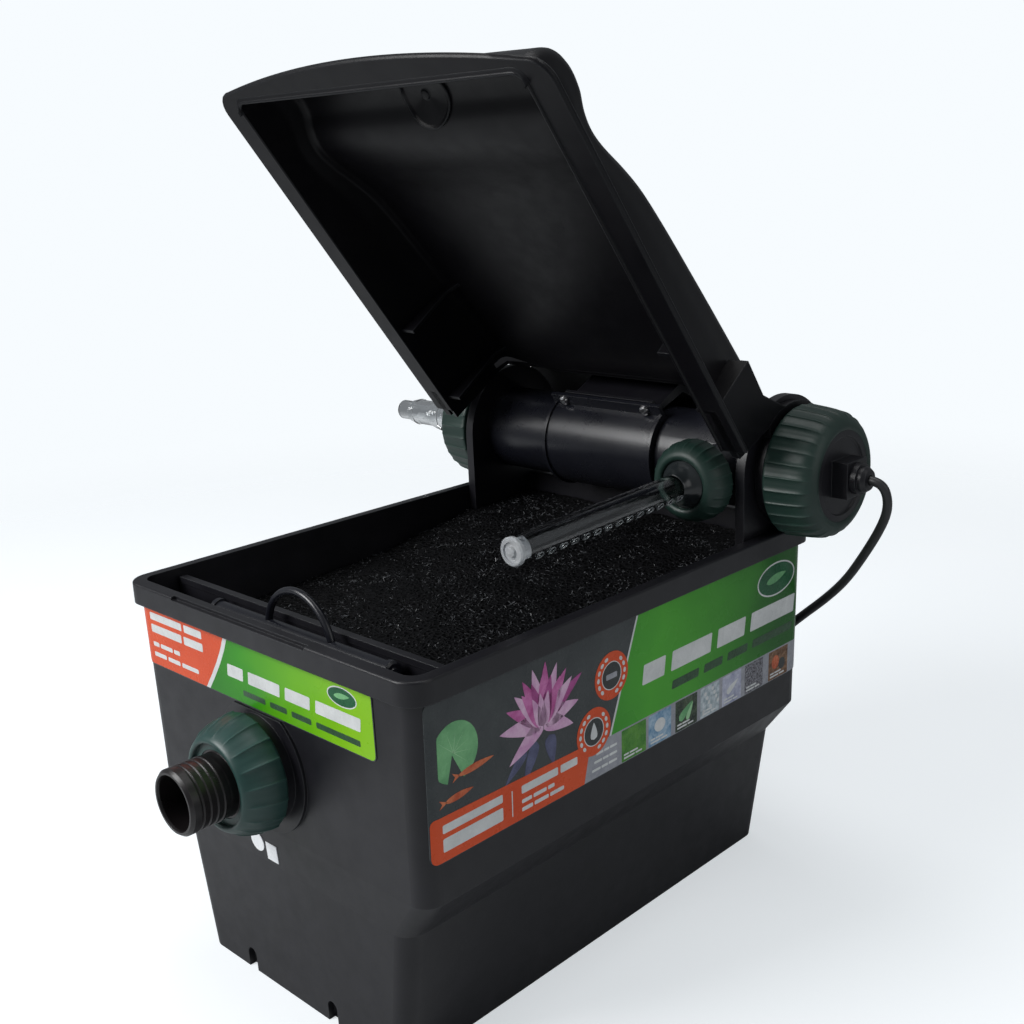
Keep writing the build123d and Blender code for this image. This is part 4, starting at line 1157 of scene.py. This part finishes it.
def side_print():
    lo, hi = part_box("side_label")
    y0, y1, z0, z1 = lo[1] / MM, hi[1] / MM, lo[2] / MM, hi[2] / MM
    stretch = (y1 - y0) / 350.0

    def at(y):
        """A place along the label, from a scale that runs from -175 to 175."""
        return y0 + (y + 175) * stretch

    green = blended_ink("ink_side_green", "Y", at(-30) * MM, at(175) * MM,
                        [(0.0, (0.035, 0.26, 0.025)), (0.35, (0.075, 0.40, 0.03)),
                         (0.7, (0.045, 0.26, 0.022)), (1.0, (0.012, 0.11, 0.012))])
    art = Print("side_label_print", SIDE)
    art.shape([(at(-29.5), z0 + 23), (at(168), z0 + 23), (at(168), z1 - 0.6),
               (at(-3.4), z1 - 0.6)], green, 0.04)
    art.strip(at(168), at(174.6), z0 + 0.8, z1 - 0.6, green, 0.04)
    art.strip(at(168), at(174.5), z0 + 0.7, z0 + 23, GREY_INK, 0.06, corner=2.4)
    art.shape([(at(-4.6), z1 - 0.6), (at(-3.0), z1 - 0.6), (at(-29.2), z0 + 23),
               (at(-31.0), z0 + 23)], WHITE_INK, 0.08)
    art.box(at(-54), z0 + 0.6, at(168), z0 + 23, GREY_INK, 0.05)
    art.shape([(at(-168), z0 + 0.5), (at(-54), z0 + 0.5), (at(-48), z0 + 25),
               (at(-168), z0 + 27)], ORANGE_INK, 0.08)
    art.strip(at(-168), at(-174.5), z0 + 0.5, z0 + 27, ORANGE_INK, 0.08)
    # the band's bars
    art.box(at(-115), z0 + 5, at(-114.2), z0 + 21, WHITE_INK, 0.11)
    for a, b, low, high, widths in (
            (-167, -122, 17, 22, (1,)), (-167, -122, 6, 14, (1,)),
            (-107, -60, 16, 21, (0.62, 0.3)), (-107, -80, 10, 12.4, (0.3, 0.4, 0.2)),
            (-107, -72, 5, 7.4, (0.3, 0.4, 0.4))):
        art.words(at(a), at(b), z0 + low, z0 + high, widths, WHITE_INK, 0.12)
    # lily pad
    pad = []
    for k in range(40):
        a = math.radians(-70 + 320 * k / 39)
        pad.append((max(at(-168.4), at(-156) + 17 * math.cos(a)), 204 + 17.5 * math.sin(a)))
    pad.append((at(-158), 203))
    art.shape(pad, LEAF_INK, 0.08)
    for k in range(7):
        a = math.radians(-40 + 30 * k)
        tip = (max(at(-168), at(-157) + 14 * math.cos(a)), 204 + 14.5 * math.sin(a))
        base = (at(-157), 204)
        n = (math.sin(a) * 0.25, -math.cos(a) * 0.25)
        art.shape([(base[0] + n[0], base[1] + n[1]), tip, (base[0] - n[0], base[1] - n[1])],
                  VEIN_INK, 0.10)
    # flower: an open bloom of pointed petals in three rings, with a shadow under it
    cu, cv = at(-88), 199.0
    art.petal(cu - 6, cv - 12, 205, 26, 4.2, WATER_INK, 0.07)
    art.petal(cu + 5, cv - 12, 172, 20, 4.6, WATER_INK, 0.07)
    art.petal(cu - 14, cv - 14, 228, 24, 3.4, WATER_INK, 0.07)
    for angle, long, wide, mat in ((-84, 35, 6.0, PINK_PALE), (84, 30, 6.0, PINK_PALE),
                                   (-122, 33, 5.0, PINK_PALE), (112, 27, 5.5, PINK_PALE),
                                   (-62, 33, 5.4, PINK), (60, 38, 5.2, PINK_DEEP)):
        art.petal(cu, cv - 2, angle, long, wide, mat, 0.09)
    for k, angle in enumerate((-44, -28, -13, 4, 20, 36, 50)):
        art.petal(cu, cv - 3, angle, 37 - abs(angle) * 0.1, 5.4, PINK if k % 2 else PINK_PALE,
                  0.11)
    for k, angle in enumerate((-36, -18, -2, 14, 30)):
        art.petal(cu, cv - 4, angle, 29, 4.8, PINK_DEEP if k % 2 else PINK, 0.13)
    for angle in (-24, -6, 12):
        art.petal(cu, cv - 5, angle, 21, 4.0, PINK_PALE, 0.15)
    # fish, two plain bodies with a forked tail
    for fu, fv, size, tip in ((at(-141), 190.5, 13.5, 0.06), (at(-154), 178.5, 10.5, 0.0)):
        art.petal(fu - size, fv - 1, 86, 2 * size, 2.1, FISH_INK, 0.09, blunt=0.8)
        art.shape([(fu - size + 2, fv - 1), (fu - size - 4, fv + 1.8 + tip), (fu - size - 2, fv - 1),
                   (fu - size - 4, fv - 3.6)], FISH_INK, 0.09)
    # two round badges
    for bu, bv in ((at(-28.5), 205), (at(-45), 174.5)):
        art.oval(bu, bv, 15.2, 15.2, ORANGE_INK, 0.13, sides=48)
        art.oval(bu, bv, 9.0, 9.0, WHITE_INK, 0.14, sides=40)
        art.oval(bu, bv, 8.4, 8.4, CHARCOAL, 0.15, sides=40)
        for k in range(16):
            if k in (3, 4, 11, 12):
                continue
            a = 2 * math.pi * k / 16
            art.oval(bu + 12 * math.cos(a), bv + 12 * math.sin(a), 1.2, 1.7, WHITE_INK, 0.15,
                     turn=a, sides=10)
    art.box(at(-33.5), 203, at(-23.5), 206.5, GREY_INK, 0.17, corner=0.8)
    art.petal(at(-45), 169.5, 0, 11, 3.0, WHITE_INK, 0.17)
    # the row of small pictures
    starts = (-19.5, 6.6, 34.0, 60.7, 84.9, 110.9, 139.6)
    ends = (4.1, 29.5, 57.0, 81.5, 106.5, 132.5, 163.2)
    for k, (a, b) in enumerate(zip(starts, ends)):
        art.box(at(a), z0 + 0.9, at(b), z0 + 22.0, TILE_INKS[k], 0.09, corner=0.6)
        art.words(at(a) + 2, at(b) - 4, z0 + 2.4, z0 + 3.6, (0.5, 0.3), WHITE_INK, 0.11)
        art.words(at(a) + 2, at(b) - 8, z0 + 4.6, z0 + 5.8, (0.3, 0.5), WHITE_INK, 0.11)
    art.petal(at(38), z0 + 8, 55, 17, 3.0, LEAF_INK, 0.12)
    art.petal(at(46), z0 + 6, 30, 13, 2.0, VEIN_INK, 0.12)
    art.oval(at(18), z0 + 13, 5.5, 4.5, WHITE_INK, 0.10)
    for k in range(9):
        art.oval(at(64 + 2.0 * (4 * k % 9)), z0 + 5 + 1.7 * k, 1.3, 1.4, WHITE_INK, 0.11, sides=12)
    art.petal(at(90), z0 + 9, 62, 15, 2.4, WHITE_INK, 0.10)
    art.oval(at(148), z0 + 13, 4.5, 5.0, FISH_INK, 0.11)
    art.oval(at(156), z0 + 10, 4.0, 4.2, CHARCOAL, 0.12)
    for k in range(3):
        art.words(at(-47 + 2 * k), at(-24), z0 + 5 + 5 * k, z0 + 6.6 + 5 * k, (0.4, 0.3, 0.4),
                  WHITE_INK, 0.09)
    # heading bars and the line under them
    art.words(at(0.5), at(168.5), 188.5, 201.5, (0.14, 0.27, 0.2, 0.34), WHITE_INK, 0.12,
              slant=1.5)
    art.words(at(30), at(167), 175.8, 181.6, (0.22, 0.16, 0.18, 0.38), DARK_LINE, 0.10,
              slant=0.8)
    # plain oval badge
    art.oval(at(146), 218.5, 22.5, 12.0, WHITE_INK, 0.10, sides=48)
    art.oval(at(146), 218.5, 21.3, 10.9, DEEP_GREEN, 0.12, sides=48)
    art.petal(at(134), 217.5, 82, 24, 3.0, LEAF_INK, 0.14, blunt=0.8)
    art.done()


def front_print():
    lo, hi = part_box("front_label")
    x0, x1, z0, z1 = lo[0] / MM, hi[0] / MM, lo[2] / MM, hi[2] / MM
    stretch = (x1 - x0) / 231.0

    def at(x):
        """A place along the label, from a scale that runs from -129 to 102."""
        return x0 + (x + 129) * stretch

    green = blended_ink("ink_front_green", "X", at(-60) * MM, at(102) * MM,
                        [(0.0, (0.006, 0.15, 0.006)), (0.4, (0.035, 0.28, 0.008)),
                         (0.75, (0.14, 0.43, 0.008)), (1.0, (0.23, 0.52, 0.012))])
    art = Print("front_label_print", FRONT)
    art.box(at(-80), z0 + 0.6, at(101.4), z1 - 0.6, green, 0.04, corner=3.4)
    # the orange end and the curved white line beside it
    curve = [(-35.2, 1.0), (-40.0, 0.75), (-46.0, 0.5), (-53.0, 0.25), (-60.5, 0.0)]
    edge = [(at(x), z0 + 0.6 + (z1 - z0 - 1.2) * t) for x, t in curve]
    art.shape([(at(-119.5), z0 + 0.6), *reversed(edge), (at(-119.5), z1 - 0.6)], ORANGE_INK,
              0.08)
    art.strip(at(-119.5), at(-128.4), z0 + 0.6, z1 - 0.6, ORANGE_INK, 0.08)
    art.shape([*edge, *[(u + 4.0, v) for u, v in reversed(edge)]], WHITE_INK, 0.10)
    for b, low, high, widths in ((-60, 31.5, 36.5, (0.6, 0.32)), (-60, 23, 28.5, (0.6, 0.36)),
                                 (-88, 13.5, 16.4, (0.2, 0.4, 0.2)),
                                 (-68, 6.5, 9.4, (0.3, 0.3, 0.4))):
        art.words(at(-119.5), at(b), z0 + low, z0 + high, widths, WHITE_INK, 0.12)
    art.words(at(-35), at(90.5), z0 + 14.6, z0 + 22.6, (0.14, 0.27, 0.2, 0.34), WHITE_INK, 0.12,
              slant=0.8)
    art.words(at(-20), at(89.5), z0 + 5.6, z0 + 9.2, (0.22, 0.16, 0.18, 0.38), DARK_LINE, 0.10)
    art.oval(at(76.5), z0 + 31.0, 12.8, 5.9, WHITE_INK, 0.10)
    art.oval(at(76.5), z0 + 31.0, 12.0, 5.2, DEEP_GREEN, 0.12)
    art.petal(at(69.5), z0 + 30.6, 82, 14, 1.7, LEAF_INK, 0.14, blunt=0.8)
    art.done()


side_print()
front_print()


# ------------------------------------------------------------------ floor, lights, backdrop
def make_floor():
    """A wide flat floor, which is staging and not part of the object."""
    bm = bmesh.new()
    bmesh.ops.create_grid(bm, x_segments=40, y_segments=40, size=4)
    floor = loose_object(bm, "floor")
    floor.data.materials.append(FLOOR)


def add_area(name, place, aim, size, power, colour=(1, 1, 1)):
    data = bpy.data.lights.new(name, "AREA")
    data.shape = "RECTANGLE"
    data.size, data.size_y = size
    data.energy, data.color = power, colour
    light = bpy.data.objects.new(name, data)
    SCENE.collection.objects.link(light)
    light.location = place
    way = Vector(aim) - Vector(place)
    light.rotation_euler = way.to_track_quat("-Z", "Y").to_euler()


def floor_material():
    """A pale matt floor that fades out far from the object."""
    mat, tree, shader = new_material("floor_pale")
    link = tree.links.new
    place = tree.nodes.new("ShaderNodeTexCoord")
    cloud = node(tree, "ShaderNodeTexNoise", Scale=2, Detail=3)
    link(place.outputs["Object"], cloud.inputs["Vector"])
    link(two_tone(tree, cloud.outputs["Fac"], (0.60, 0.62, 0.635), (0.62, 0.64, 0.655)),
         shader.inputs["Base Color"])
    shader.inputs["Roughness"].default_value = 0.8
    far = node(tree, "ShaderNodeVectorMath", operation="LENGTH")
    link(place.outputs["Object"], far.inputs[0])
    fade = node(tree, "ShaderNodeMapRange", From_Min=0.7, From_Max=1.7, To_Min=1, To_Max=0,
                interpolation_type="SMOOTHSTEP")
    link(far.outputs["Value"], fade.inputs["Value"])
    link(fade.outputs["Result"], shader.inputs["Alpha"])
    # a studio sweep: a little of its own light, seen but not cast
    seen = tree.nodes.new("ShaderNodeLightPath")
    glow = node(tree, "ShaderNodeMath", operation="MULTIPLY")
    glow.inputs[1].default_value = 0.55
    link(seen.outputs["Is Camera Ray"], glow.inputs[0])
    link(glow.outputs["Value"], shader.inputs["Emission Strength"])
    shader.inputs["Emission Color"].default_value = (0.93, 0.97, 1.0, 1)
    return mat


def make_world():
    """A pale backdrop, and a dimmer studio round the object."""
    world = bpy.data.worlds.new("studio")
    SCENE.world = world
    world.use_nodes = True
    tree = world.node_tree
    seen = tree.nodes["Background"]
    seen.inputs["Color"].default_value = (0.93, 0.97, 1.0, 1)
    seen.inputs["Strength"].default_value = 1.0
    dim = tree.nodes.new("ShaderNodeBackground")
    dim.inputs["Color"].default_value = (0.9, 0.95, 1.0, 1)
    dim.inputs["Strength"].default_value = 0.21
    ray = tree.nodes.new("ShaderNodeLightPath")
    mix = tree.nodes.new("ShaderNodeMixShader")
    tree.links.new(ray.outputs["Is Camera Ray"], mix.inputs["Fac"])
    tree.links.new(dim.outputs["Background"], mix.inputs[1])
    tree.links.new(seen.outputs["Background"], mix.inputs[2])
    tree.links.new(mix.outputs["Shader"], tree.nodes["World Output"].inputs["Surface"])


FLOOR = floor_material()
make_floor()
make_world()
SCENE.view_settings.view_transform = "Standard"
add_area("key", (-0.75, -1.5, 1.3), (0, 0, 0.2), (1.1, 0.9), 35)
add_area("top", (0.0, 0.25, 2.0), (0, 0.05, 0.2), (1.6, 0.7), 11)
add_area("fill", (1.7, 0.2, 0.9), (0, 0, 0.2), (0.9, 1.2), 3.5)
